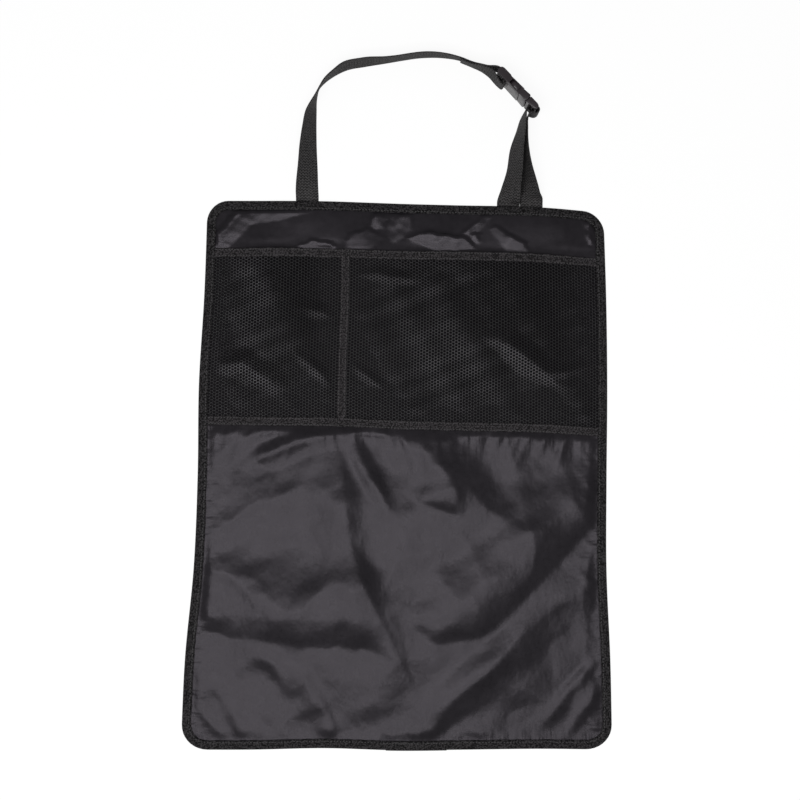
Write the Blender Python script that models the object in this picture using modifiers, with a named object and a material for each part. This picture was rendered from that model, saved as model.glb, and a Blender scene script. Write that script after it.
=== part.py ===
"""Seat back kick mat: a coated fabric panel with a taped edge, a net with two pockets
and a buckled headrest strap. It lies on its back, front face up, top edge toward +Y."""

import math

import bmesh
import bpy
from mathutils import Matrix, Vector

# Lengths are in metres. The mat's own measure is a plain rectangle, x from its left
# edge and y from its bottom edge; mat_point turns it into the outline as it lies.

# Mat outline
MAT_TOP_WIDTH = 0.435
MAT_BOTTOM_WIDTH = 0.474
MAT_HEIGHT = 0.603
TOP_EDGE_SHIFT = 0.010
TOP_EDGE_DROP = 0.013
TOP_CORNER_RADIUS = 0.024
BOTTOM_CORNER_RADIUS = 0.028
# How far each side bows outward, at equal steps along it
TOP_BOW = (0, 0.0020, 0.0033, 0.0030, 0.0033, 0.0035, 0)
BOTTOM_BOW = (0, 0, -0.0016, 0.0007, 0, -0.0009, 0)
LEFT_BOW = (0, 0.0003, -0.0044, -0.0038, -0.0003, -0.0014, 0)
RIGHT_BOW = (0, -0.0004, -0.0030, -0.0014, 0.0010, 0.0015, 0)

# Sheets and the gap that is left between one layer and the next
PANEL_THICKNESS = 0.0004
NET_THICKNESS = 0.0005
TAPE_THICKNESS = 0.0006
LAYER_GAP = 0.0003

# Edge binding, a tape folded round the edge, its end lapped over its start
BINDING_WIDTH = 0.010
BINDING_CHAMFER = 0.0007
EDGE_INSET = 0.0015
LAP_START = 0.216
LAP_LENGTH = 0.064
LAP_RISE = 0.0007

# Net pockets
HEADER_DEPTH = 0.057
POCKET_DEPTH = 0.187
POCKET_BASE_FALL = 0.006
DIVIDER_X = 0.159
POCKET_TAPE_WIDTH = 0.0095
TAPE_END_GAP = 0.0012
LEFT_POCKET_RISE = 0.0075
RIGHT_POCKET_RISE = 0.0085
POCKET_BASE_FLAT = 0.012
NET_COLUMNS_LEFT = 4
NET_COLUMNS_RIGHT = 9
NET_ROWS = 5
NET_THREAD = 0.0060

# Panel cloth
PANEL_COLUMNS = 36
LOWER_ROWS = 26
POCKET_ROWS = 5
HEADER_ROWS = 5
BILLOW_RISE = 0.0025
GATHER_RISE = 0.0016
GATHER_PITCH = 0.038
GATHER_REACH = 0.016
FOLD_EDGE_FADE = 0.016

# Headrest straps, both of one webbing
WEBBING_WIDTH = 0.025
WEBBING_THICKNESS = 0.0014
STRAP_TUCK = 0.014
STRAP_LEAVE = 0.004
LONG_STRAP_X = -0.108
SHORT_STRAP_X = 0.113
SHORT_STRAP_GAP = 0.0002
STRAP_LIFT_MARGIN = 0.007
STRAP_LIFT_RAMP = 0.040
STRAP_LIFT_FADE = 0.035
STITCHED_LENGTH = 0.014

# Side release buckle, measured along its axis from the socket's outer end
BUCKLE_START = (0.1004, 0.1383)
BUCKLE_ANGLE = -46.0
BUCKLE_SIDE = 0.0036
WEBBING_PLAY = 0.0005
SOCKET_LENGTH = 0.0455
SOCKET_THICKNESS = 0.0086
SOCKET_WALL = 0.0016
SOCKET_TONGUE_LENGTH = 0.0072
SOCKET_TONGUE_THICKNESS = 0.0022
SOCKET_SLOT_LENGTH = 0.0075
SOCKET_CAVITY_START = 0.0175
WINDOW_START = 0.0187
WINDOW_END = 0.0325
MOUTH_HALF_WIDTH = 0.0137
BUCKLE_EDGE_ROUND = 0.0012
BUCKLE_GAP = 0.0003
CLIP_BASE_LENGTH = 0.0038
CLIP_LENGTH = 0.0141
CLIP_THICKNESS = 0.0072
BAR_RADIUS = 0.0013
MIDDLE_BAR_AT = 0.0075
END_BAR_AT = 0.0121
PRONG_TIP = 0.0196
PRONG_WIDTH = 0.0030
PRONG_PLAY = 0.0005
PAD_REACH = 0.0157
GUIDE_HALF_WIDTH = 0.0026
GUIDE_TIP = 0.0240

# The long strap's lower edge on its way to the buckle, from the middle of the mat's
# top edge: x, y, roll in degrees (90 stands on edge) and lift off the surface
LONG_STRAP_LOOP = (
    (-0.0961, 0.0164, 16, 0),
    (-0.0967, 0.0340, 32, 0),
    (-0.0978, 0.0593, 46, 0),
    (-0.0981, 0.0780, 56, 0),
    (-0.0981, 0.0967, 68, 0),
    (-0.0978, 0.1121, 90, 0),
    (-0.0951, 0.1231, 97, 0),
    (-0.0891, 0.1297, 93, 0),
    (-0.0783, 0.1374, 88, 0),
    (-0.0635, 0.1442, 81, 0),
    (-0.0459, 0.1475, 81, 0),
    (-0.0206, 0.1517, 88, 0),
    (-0.0063, 0.1542, 90, 0),
    (0.0190, 0.1576, 90, 0),
    (0.0443, 0.1572, 93, 0),
    (0.0608, 0.1542, 96, 0),
    (0.0740, 0.1484, 95, 0.001),
    (0.0868, 0.1426, 90, 0.003),
)
# The short strap's lower edge from the mat up to the clip, and from the clip down again
SHORT_STRAP_UP = (
    (0.1048, 0.0120, -30, 0),
    (0.1111, 0.0318, -50, 0),
    (0.1154, 0.0575, -58, 0),
    (0.1221, 0.0761, -71, 0.001),
    (0.1264, 0.0890, -80, 0.003),
)
SHORT_STRAP_DOWN = (
    (0.1348, 0.0922, -90, 0.0038),
    (0.1328, 0.0894, -90, 0.003),
    (0.1315, 0.0850, -91, 0.0015),
    (0.1307, 0.0760, -93, 0.0005),
    (0.1299, 0.0684, -95, 0),
    (0.1291, 0.0560, -99, 0),
    (0.1284, 0.0430, -106, 0),
    (0.1275, 0.0293, -118, 0),
    (0.1268, 0.0150, -135, 0),
    (0.1257, 0.0060, -155, 0),
)
LONG_STEP = 0.006

# Folds of the panel: crest points in the mat's measure, how far the cloth falls away
# on the crest's left and right (seen along it), and its height
FOLDS = {
    "left_sweep": (((0.014, 0.123), (0.068, 0.118), (0.127, 0.111), (0.214, 0.103)), 0.034, 0.055, 0.0060),
    "centre_drop": (((0.159, 0.275), (0.169, 0.209), (0.188, 0.151), (0.216, 0.107), (0.243, 0.070)),
                    0.018, 0.045, 0.0040),
    "right_sweep": (((0.445, 0.250), (0.401, 0.201), (0.369, 0.160), (0.326, 0.118), (0.296, 0.098)),
                    0.028, 0.055, 0.0075),
    "right_turn": (((0.296, 0.098), (0.268, 0.119), (0.237, 0.140)), 0.030, 0.026, 0.0035),
    "right_lower": (((0.443, 0.168), (0.396, 0.142), (0.358, 0.091), (0.305, 0.049), (0.271, 0.010)),
                    0.040, 0.024, 0.0050),
    "right_corner": (((0.444, 0.087), (0.421, 0.067), (0.396, 0.022)), 0.018, 0.018, 0.0030),
    "left_lower": (((0.058, 0.114), (0.123, 0.089), (0.150, 0.054), (0.169, 0.014)), 0.030, 0.020, 0.0035),
    "left_crease": (((0.016, 0.194), (0.044, 0.180), (0.080, 0.157)), 0.018, 0.018, 0.0025),
    "left_corner": (((0.033, 0.064), (0.052, 0.040), (0.067, 0.011)), 0.016, 0.016, 0.0025),
    "tape_left": (((0.061, 0.316), (0.087, 0.334), (0.117, 0.350)), 0.016, 0.022, 0.0045),
    "tape_centre": (((0.163, 0.353), (0.175, 0.325), (0.202, 0.287)), 0.020, 0.016, 0.0045),
    "tape_right": (((0.216, 0.354), (0.252, 0.323), (0.288, 0.277)), 0.030, 0.024, 0.0045),
    "tape_far_right": (((0.312, 0.349), (0.353, 0.303), (0.391, 0.254)), 0.026, 0.030, 0.0045),
    "header_left": (((0.016, 0.554), (0.055, 0.580), (0.146, 0.592)), 0.014, 0.016, 0.0025),
    "header_middle": (((0.221, 0.569), (0.267, 0.562), (0.311, 0.566)), 0.014, 0.014, 0.0020),
}

# Values that follow from the sizes above
MAT_WIDTH = (MAT_TOP_WIDTH + MAT_BOTTOM_WIDTH) / 2
LOOP_RISE = max(y for x, y, roll, lift in LONG_STRAP_LOOP) + WEBBING_THICKNESS / 2
BOTTOM_Y = -(MAT_HEIGHT + LOOP_RISE) / 2
TOP_Y = BOTTOM_Y + MAT_HEIGHT
SLOT_HEIGHT = PANEL_THICKNESS + NET_THICKNESS + 3 * LAYER_GAP
BINDING_THICKNESS = SLOT_HEIGHT + 2 * TAPE_THICKNESS
PANEL_Z = TAPE_THICKNESS + LAYER_GAP + PANEL_THICKNESS / 2
NET_Z = PANEL_Z + PANEL_THICKNESS / 2 + LAYER_GAP + NET_THICKNESS / 2
TAPE_ON_NET = NET_THICKNESS / 2 + LAYER_GAP + TAPE_THICKNESS / 2
STRAP_LIFT = WEBBING_THICKNESS + LAYER_GAP
HEM_Y = MAT_HEIGHT - HEADER_DEPTH
HEM_TOP = HEM_Y + POCKET_TAPE_WIDTH / 2
BUCKLE_WIDTH = WEBBING_WIDTH + 2 * (WEBBING_PLAY + BUCKLE_SIDE)
WEBBING_LIFT = WEBBING_PLAY + BUCKLE_SIDE
STRAND_OFFSET = BAR_RADIUS + LAYER_GAP + WEBBING_THICKNESS / 2
CLIP_START = SOCKET_LENGTH + BUCKLE_GAP


def clear_scene():
    """Removes every object that the scene starts with."""
    for obj in list(bpy.data.objects):
        bpy.data.objects.remove(obj, do_unlink=True)


def make_collection(name):
    """A new collection in the scene."""
    collection = bpy.data.collections.new(name)
    bpy.context.scene.collection.children.link(collection)
    return collection


def make_material(name, colour, roughness):
    """A non-metallic Principled material."""
    material = bpy.data.materials.new(name)
    material.use_nodes = True
    shader = material.node_tree.nodes["Principled BSDF"]
    shader.inputs["Base Color"].default_value = (*colour, 1)
    shader.inputs["Roughness"].default_value = roughness
    shader.inputs["Metallic"].default_value = 0
    return material


def smoothstep(value):
    """0 below 0, 1 above 1 and a smooth rise between."""
    value = min(max(value, 0.0), 1.0)
    return value * value * (3 - 2 * value)


def smooth_knots(knots, distances, place, steady=False):
    """A smooth curve through knots that stand at given distances, read at one place.
    A steady one runs level at each knot where it would otherwise overshoot."""
    last = len(knots) - 1
    index = 0
    while index < last - 1 and place > distances[index + 1]:
        index += 1
    slopes = [(knots[i + 1] - knots[i]) / (distances[i + 1] - distances[i]) for i in range(last)]

    def tangent(knot):
        """The slope at a knot, leaning to the shorter span beside it."""
        if knot in (0, last):
            return slopes[min(knot, last - 1)]
        if steady and slopes[knot - 1] * slopes[knot] <= 0:
            return 0
        before = distances[knot] - distances[knot - 1]
        after = distances[knot + 1] - distances[knot]
        return (slopes[knot - 1] * after + slopes[knot] * before) / (before + after)

    span = distances[index + 1] - distances[index]
    t = (place - distances[index]) / span
    start, end = tangent(index) * span, tangent(index + 1) * span
    return (
        knots[index] * (2 * t**3 - 3 * t**2 + 1)
        + start * (t**3 - 2 * t**2 + t)
        + knots[index + 1] * (3 * t**2 - 2 * t**3)
        + end * (t**3 - t**2)
    )


def bow(knots, fraction):
    """A side's outward bow at a fraction of its length."""
    return smooth_knots(knots, range(len(knots)), fraction * (len(knots) - 1))


def mat_point(x, y):
    """Where a place in the mat's measure lies in the XY plane."""
    u, v = x / MAT_WIDTH, y / MAT_HEIGHT
    bottom_x = (u - 0.5) * MAT_BOTTOM_WIDTH
    top_x = (u - 0.5) * MAT_TOP_WIDTH + TOP_EDGE_SHIFT
    sideways = u * bow(RIGHT_BOW, v) - (1 - u) * bow(LEFT_BOW, v)
    upward = v * bow(TOP_BOW, u) - (1 - v) * bow(BOTTOM_BOW, u)
    height = MAT_HEIGHT - u * TOP_EDGE_DROP
    return Vector(((1 - v) * bottom_x + v * top_x + sideways, BOTTOM_Y + v * height + upward, 0))


def rounded(x, y, inset):
    """Moves a place of a rectangle, inset from the edge, into its rounded corners."""
    radius = (TOP_CORNER_RADIUS if y > MAT_HEIGHT / 2 else BOTTOM_CORNER_RADIUS) - inset
    middle_x = MAT_WIDTH - inset - radius if x > MAT_WIDTH / 2 else inset + radius
    middle_y = MAT_HEIGHT - inset - radius if y > MAT_HEIGHT / 2 else inset + radius
    across = x - middle_x if x > MAT_WIDTH / 2 else middle_x - x
    along = y - middle_y if y > MAT_HEIGHT / 2 else middle_y - y
    if across <= 0 or along <= 0:
        return x, y
    shrink = max(across, along) / math.hypot(across, along)
    return middle_x + (x - middle_x) * shrink, middle_y + (y - middle_y) * shrink


def strap_lift(x, y):
    """How far the mat is raised over the strap ends behind its top edge."""
    place = mat_point(x, MAT_HEIGHT).x - TOP_EDGE_SHIFT
    short_middle = SHORT_STRAP_X + (WEBBING_WIDTH + SHORT_STRAP_GAP) / 2
    spans = (
        (LONG_STRAP_X, WEBBING_WIDTH / 2),
        (short_middle, WEBBING_WIDTH + SHORT_STRAP_GAP / 2),
    )
    across = max(
        smoothstep(1 - (abs(place - middle) - half - STRAP_LIFT_MARGIN) / STRAP_LIFT_RAMP)
        for middle, half in spans
    )
    depth = MAT_HEIGHT - y - STRAP_TUCK - LAYER_GAP
    return STRAP_LIFT * across * smoothstep(1 - depth / STRAP_LIFT_FADE)


def pocket_base(x):
    """Height in the mat's measure of the tape along the pockets' lower edge."""
    return HEM_Y - POCKET_DEPTH - POCKET_BASE_FALL * (x / MAT_WIDTH - 0.5)


def fold_height(x, y, crest, left_fall, right_fall, height):
    """Height of one fold at a place, from the nearest point of its crest."""
    place = Vector((x, y))
    length = sum((Vector(b) - Vector(a)).length for a, b in zip(crest, crest[1:]))
    nearest, best, travelled = None, math.inf, 0
    for a, b in zip(crest, crest[1:]):
        start, step = Vector(a), Vector(b) - Vector(a)
        t = min(max((place - start).dot(step) / step.length_squared, 0), 1)
        offset = place - start - step * t
        if offset.length < best:
            best = offset.length
            nearest = (travelled + step.length * t) / length, step.cross(offset)
        travelled += step.length
    along, side = nearest
    fall = left_fall if side > 0 else right_fall
    ends = smoothstep(along * 4 + 0.15) * smoothstep((1 - along) * 4 + 0.15)
    return height * ends * smoothstep(1 - best / fall)


def panel_height(x, y):
    """Height of the panel's middle surface: lifted at the straps, flat under the net."""
    base = pocket_base(x) - POCKET_TAPE_WIDTH / 2
    in_header = y > HEM_TOP
    if base <= y <= HEM_TOP:
        return PANEL_Z + strap_lift(x, y)
    edge = min(x, MAT_WIDTH - x, y, MAT_HEIGHT - y) - BINDING_WIDTH
    from_tape = y - HEM_TOP if in_header else base - y
    free = smoothstep(edge / FOLD_EDGE_FADE) * smoothstep(from_tape / FOLD_EDGE_FADE)
    near_tape = smoothstep(edge / FOLD_EDGE_FADE) * smoothstep(from_tape / (FOLD_EDGE_FADE / 2))
    folds = sum(
        fold_height(x, y, *fold) for name, fold in FOLDS.items() if name.startswith("header") == in_header
    )
    gathers = billow = 0
    if not in_header:
        wave = 0.5 - 0.5 * math.cos(2 * math.pi * x / GATHER_PITCH)
        gathers = GATHER_RISE * wave * math.exp(-from_tape / GATHER_REACH)
        billow = BILLOW_RISE * math.sin(math.pi * x / MAT_WIDTH) * math.sin(math.pi * y / base)
    return PANEL_Z + strap_lift(x, y) + free * (folds + billow) + near_tape * gathers


def net_column(index):
    """Where one column of the net's knots stands; the middle one is under the divider."""
    split = 2 * NET_COLUMNS_LEFT
    if index <= split:
        return EDGE_INSET + (DIVIDER_X - EDGE_INSET) * index / split
    return DIVIDER_X + (MAT_WIDTH - EDGE_INSET - DIVIDER_X) * (index - split) / (2 * NET_COLUMNS_RIGHT)


def pocket_rise(x, y):
    """How far the net stands off the panel; it lies flat one column in from each side."""
    split, last = 2 * NET_COLUMNS_LEFT, 2 * (NET_COLUMNS_LEFT + NET_COLUMNS_RIGHT)
    low = pocket_base(x) + POCKET_BASE_FLAT
    if x < DIVIDER_X:
        start, end, rise = net_column(1), net_column(split - 1), LEFT_POCKET_RISE
    else:
        start, end, rise = net_column(split + 1), net_column(last - 1), RIGHT_POCKET_RISE
    across = min(max((x - start) / (end - start), 0), 1)
    upward = smoothstep((y - low) / (HEM_Y - low) * 1.6)
    return rise * math.sin(math.pi * across) ** 2 * upward


def net_height(x, y):
    """Height of the net's middle surface."""
    return NET_Z + pocket_rise(x, y)


def link(obj, collection, material=None):
    """Puts an object in its collection, with its material."""
    collection.objects.link(obj)
    if material:
        obj.data.materials.append(material)
    return obj


def mesh_object(name, mesh, collection, material=None):
    """A new object of a bmesh, which it frees."""
    data = bpy.data.meshes.new(name)
    mesh.to_mesh(data)
    mesh.free()
    return link(bpy.data.objects.new(name, data), collection, material)


def poly_curve(name, points, tilts=None, cyclic=False, flat=False):
    """A curve object straight through points, with a tilt at each if given."""
    data = bpy.data.curves.new(name, "CURVE")
    data.dimensions = "2D" if flat else "3D"
    data.twist_mode = "Z_UP"
    spline = data.splines.new("POLY")
    spline.points.add(len(points) - 1)
    for index, point in enumerate(points):
        spline.points[index].co = (*point, 1)
        spline.points[index].tilt = tilts[index] if tilts else 0
    spline.use_cyclic_u = cyclic
    return bpy.data.objects.new(name, data)


def section(name, outline, cutters):
    """A closed outline to sweep along a curve: x to the right of travel, y up."""
    shape = poly_curve(name, [(x, y, 0) for x, y in outline], cyclic=True, flat=True)
    shape.hide_render = True
    shape.display_type = "WIRE"
    return link(shape, cutters)


def sweep(curve, shape, collection, material=None):
    """Sweeps a section along a curve, with closed ends."""
    curve.data.bevel_mode = "OBJECT"
    curve.data.bevel_object = shape
    curve.data.use_fill_caps = not curve.data.splines[0].use_cyclic_u
    return link(curve, collection, material)


def as_mesh(curve, collection, material=None):
    """Replaces a curve object by a mesh of the same form, its ends welded shut."""
    bpy.context.view_layer.update()
    graph = bpy.context.evaluated_depsgraph_get()
    data = bpy.data.meshes.new_from_object(curve.evaluated_get(graph))
    welded = bmesh.new()
    welded.from_mesh(data)
    bmesh.ops.remove_doubles(welded, verts=welded.verts, dist=1e-6)
    bmesh.ops.recalc_face_normals(welded, faces=welded.faces)
    name, place = curve.name, curve.matrix_world.copy()
    bpy.data.objects.remove(curve, do_unlink=True)
    obj = mesh_object(name, welded, collection, material)
    obj.data.name = name
    obj.matrix_world = place
    return obj


def steps(start, end, longest):
    """Evenly spaced values from start to end, no further apart than the longest step."""
    count = max(1, math.ceil(abs(end - start) / longest - 1e-6))
    return [start + (end - start) * i / count for i in range(count + 1)]


def outline_places(side_step, top_step, arc_steps):
    """Places once round the mat's edge, clockwise seen from above, from its top left."""
    top, bottom = TOP_CORNER_RADIUS, BOTTOM_CORNER_RADIUS
    places = [(x, MAT_HEIGHT) for x in steps(top, MAT_WIDTH - top, top_step)]
    turns = (
        (MAT_WIDTH - top, MAT_HEIGHT - top, top, 90),
        (MAT_WIDTH - bottom, bottom, bottom, 0),
        (bottom, bottom, bottom, -90),
        (top, MAT_HEIGHT - top, top, 180),
    )
    for number, (x, y, radius, start) in enumerate(turns):
        angles = [math.radians(start - 90 * i / arc_steps) for i in range(1, arc_steps + 1)]
        places += [(x + radius * math.cos(a), y + radius * math.sin(a)) for a in angles]
        if number == 0:
            places += [(MAT_WIDTH, y) for y in steps(MAT_HEIGHT - top, bottom, side_step)[1:]]
        if number == 1:
            places += [(x, 0) for x in steps(MAT_WIDTH - bottom, bottom, side_step)[1:]]
        if number == 2:
            places += [(0, y) for y in steps(bottom, MAT_HEIGHT - top, side_step)[1:]]
    return places[:-1]


def lifted_point(x, y, z):
    """A place of the mat at height z, raised where the strap ends lie beneath."""
    point = mat_point(x, y)
    point.z = z + strap_lift(x, y)
    return point


def make_binding(parts, cutters, material):
    """The tape round the edge: a U section swept once round, with its lapped end."""
    width, height, wall, chamfer = BINDING_WIDTH, BINDING_THICKNESS, TAPE_THICKNESS, BINDING_CHAMFER
    outline = (
        (width, 0), (width, wall), (wall, wall), (wall, height - wall), (width, height - wall),
        (width, height), (chamfer, height), (0, height - chamfer), (0, chamfer), (chamfer, 0),
    )
    places = outline_places(side_step=0.040, top_step=0.0100, arc_steps=6)
    path = poly_curve("edge_binding", [lifted_point(x, y, 0) for x, y in places], cyclic=True)
    sweep(path, section("binding_section", outline, cutters), cutters)
    binding = as_mesh(path, parts, material)

    inside, rise = wall / 2, LAP_RISE
    lap_outline = (
        (inside, inside), (inside, height - inside), (width - inside, height - inside),
        (width - inside, height + rise), (chamfer - rise, height + rise),
        (-rise, height - chamfer + rise), (-rise, inside),
    )
    lap_places = steps(LAP_START + LAP_LENGTH, LAP_START, 0.032)
    lap_path = poly_curve("binding_lap", [mat_point(x, 0) for x in lap_places])
    sweep(lap_path, section("lap_section", lap_outline, cutters), cutters)
    lap = as_mesh(lap_path, cutters)
    combine(binding, lap, "UNION")


def combine(obj, tool, operation):
    """Joins a mesh to an object, or cuts it out, with the tool kept as a hidden guide."""
    tool.hide_render = True
    tool.display_type = "WIRE"
    modifier = obj.modifiers.new(tool.name, "BOOLEAN")
    modifier.operation = operation
    modifier.object = tool


def thicken(obj, thickness):
    """Gives an open sheet its thickness, half to each side."""
    modifier = obj.modifiers.new("thickness", "SOLIDIFY")
    modifier.thickness = thickness
    modifier.offset = 0


def make_panel(parts, material):
    """The main panel: one sheet with its folds, its edge inside the binding."""
    low, high = EDGE_INSET, MAT_HEIGHT - EDGE_INSET
    mesh = bmesh.new()
    rows = LOWER_ROWS + POCKET_ROWS + HEADER_ROWS
    bmesh.ops.create_grid(mesh, x_segments=PANEL_COLUMNS, y_segments=rows, size=0.5)
    for vertex in mesh.verts:
        x = EDGE_INSET + (vertex.co.x + 0.5) * (MAT_WIDTH - 2 * EDGE_INSET)
        row = round((vertex.co.y + 0.5) * rows)
        base = pocket_base(x) - POCKET_TAPE_WIDTH / 2
        if row <= LOWER_ROWS:
            y = low + (base - low) * row / LOWER_ROWS
        elif row <= LOWER_ROWS + POCKET_ROWS:
            y = base + (HEM_TOP - base) * (row - LOWER_ROWS) / POCKET_ROWS
        else:
            y = HEM_TOP + (high - HEM_TOP) * (row - LOWER_ROWS - POCKET_ROWS) / HEADER_ROWS
        x, y = rounded(x, y, EDGE_INSET)
        vertex.co = mat_point(x, y)
        vertex.co.z = panel_height(x, y)
    for face in mesh.faces:
        face.smooth = True
    thicken(mesh_object("main_panel", mesh, parts, material), PANEL_THICKNESS)


def make_net(parts, material):
    """The pockets' net: a staggered lattice of openings in one sheet."""
    columns, rows = 2 * (NET_COLUMNS_LEFT + NET_COLUMNS_RIGHT), 2 * NET_ROWS
    mesh = bmesh.new()
    knots = {}
    for i in range(columns + 1):
        x = net_column(i)
        low, high = pocket_base(x) - POCKET_TAPE_WIDTH / 4, HEM_Y + POCKET_TAPE_WIDTH / 4
        for j in range(rows + 1):
            if (i + j) % 2 == 0 or j in (0, rows):
                knots[i, j] = mesh.verts.new((x, low + (high - low) * j / rows, 0))
    cells = []
    for i in range(columns + 1):
        for j in range((i + 1) % 2, rows + 1, 2):
            around = ((i - 1, j), (i, max(j - 1, 0)), (i + 1, j), (i, min(j + 1, rows)))
            face = mesh.faces.new([knots[k] for k in around if k in knots])
            if 0 < i < columns and 0 < j < rows:
                cells.append(face)
            elif 0 < i < columns:
                bmesh.ops.connect_verts(mesh, verts=[knots[around[1]], knots[around[3]]])
    mesh.normal_update()
    bmesh.ops.inset_individual(mesh, faces=cells, thickness=NET_THREAD / 2, use_even_offset=True)
    bmesh.ops.delete(mesh, geom=cells, context="FACES_ONLY")
    for vertex in mesh.verts:
        x, y = vertex.co.x, vertex.co.y
        vertex.co = mat_point(x, y)
        vertex.co.z = net_height(x, y)
    bmesh.ops.recalc_face_normals(mesh, faces=mesh.faces)
    thicken(mesh_object("pocket_net", mesh, parts, material), NET_THICKNESS)


def flat_section(name, width, thickness, cutters):
    """The section of a flat tape."""
    x, y = width / 2, thickness / 2
    return section(name, ((-x, -y), (-x, y), (x, y), (x, -y)), cutters)


def make_pocket_tapes(parts, cutters, material):
    """The hem along the pockets' mouths, the tape at their base and the divider."""
    shape = flat_section("tape_section", POCKET_TAPE_WIDTH, TAPE_THICKNESS, cutters)
    start = BINDING_WIDTH + TAPE_END_GAP
    columns = [net_column(i) for i in range(1, 2 * (NET_COLUMNS_LEFT + NET_COLUMNS_RIGHT))]
    runs = {
        "pocket_hem_tape": lambda x: HEM_Y,
        "pocket_base_tape": pocket_base,
    }
    for name, line in runs.items():
        points = []
        for x in [start, *columns, MAT_WIDTH - start]:
            point = mat_point(x, line(x))
            point.z = net_height(x, line(x)) + TAPE_ON_NET
            points.append(point)
        sweep(poly_curve(name, points), shape, parts, material)

    base, half, ramp = pocket_base(DIVIDER_X), POCKET_TAPE_WIDTH / 2 + LAYER_GAP, POCKET_TAPE_WIDTH
    low = NET_Z + TAPE_ON_NET + LAYER_GAP
    high = NET_Z + TAPE_ON_NET + TAPE_THICKNESS + LAYER_GAP
    profile = (
        (base - half, high), (base + half, high), (base + half + ramp, low),
        ((base + HEM_Y) / 2, low),
        (HEM_Y - half - ramp, low), (HEM_Y - half, high), (HEM_Y + half, high),
    )
    points = [mat_point(DIVIDER_X, y) + Vector((0, 0, z)) for y, z in profile]
    sweep(poly_curve("divider_tape", points), shape, parts, material)


def buckle_place(along, across):
    """A place in the buckle's plan, from the middle of the mat's top edge."""
    angle = math.radians(BUCKLE_ANGLE)
    axis = Vector((math.cos(angle), math.sin(angle)))
    inward = Vector((math.sin(angle), -math.cos(angle)))
    return Vector(BUCKLE_START) + axis * along + inward * across


def edge_of_mat(x, depth):
    """The point a depth below the mat's top edge, x from that edge's middle, in the same plan."""
    point = mat_point((x / MAT_TOP_WIDTH + 0.5) * MAT_WIDTH, MAT_HEIGHT)
    return Vector((x, point.y - TOP_Y - depth))


def arc_knots(along, across, radius, start, end, roll):
    """Knots every 45 degrees round a bar of the buckle, angles from its axis."""
    count = round(abs(end - start) / 45)
    knots = []
    for i in range(count + 1):
        angle = math.radians(start + (end - start) * i / count)
        place = buckle_place(along + radius * math.cos(angle), across + radius * math.sin(angle))
        knots.append(Vector((place.x, place.y, roll, WEBBING_LIFT)))
    return knots


def ribbon(name, knots, shape, parts, material):
    """Webbing through knots of its lower edge: x, y, roll in degrees and lift."""
    distances = [0]
    for a, b in zip(knots, knots[1:]):
        distances.append(distances[-1] + (b.xy - a.xy).length)
    places = [0]
    for a, b in zip(distances, distances[1:]):
        places += steps(a, b, min(LONG_STEP, (b - a) / 2))[1:]
    edge = [smooth_knots([knot.xy for knot in knots], distances, place) for place in places]
    rolls = [smooth_knots([knot.z for knot in knots], distances, place, True) for place in places]
    lifts = [smooth_knots([knot.w for knot in knots], distances, place, True) for place in places]
    rising_side = math.copysign(WEBBING_WIDTH / 2, rolls[len(rolls) // 2])
    points, tilts = [], [math.radians(roll) for roll in rolls]
    for index, (place, roll, lift) in enumerate(zip(edge, tilts, lifts)):
        before, after = edge[max(index - 1, 0)], edge[min(index + 1, len(edge) - 1)]
        forward = (after - before).normalized()
        plan = place + Vector((-forward.y, forward.x)) * rising_side * math.cos(roll)
        height = (WEBBING_WIDTH * abs(math.sin(roll)) + WEBBING_THICKNESS * abs(math.cos(roll))) / 2
        points.append((plan.x + TOP_EDGE_SHIFT, plan.y + TOP_Y, height + lift))
    sweep(poly_curve(name, points, tilts), shape, parts, material)


def mat_end(x, side, roll):
    """Knots of a strap's lower edge where it leaves the mat, from its hidden end outward."""
    edge_x = x + side * WEBBING_WIDTH / 2
    depths = (STRAP_TUCK, 0, -STRAP_LEAVE)
    return [Vector((*edge_of_mat(edge_x, depth), roll, 0)) for depth in depths]


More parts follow.
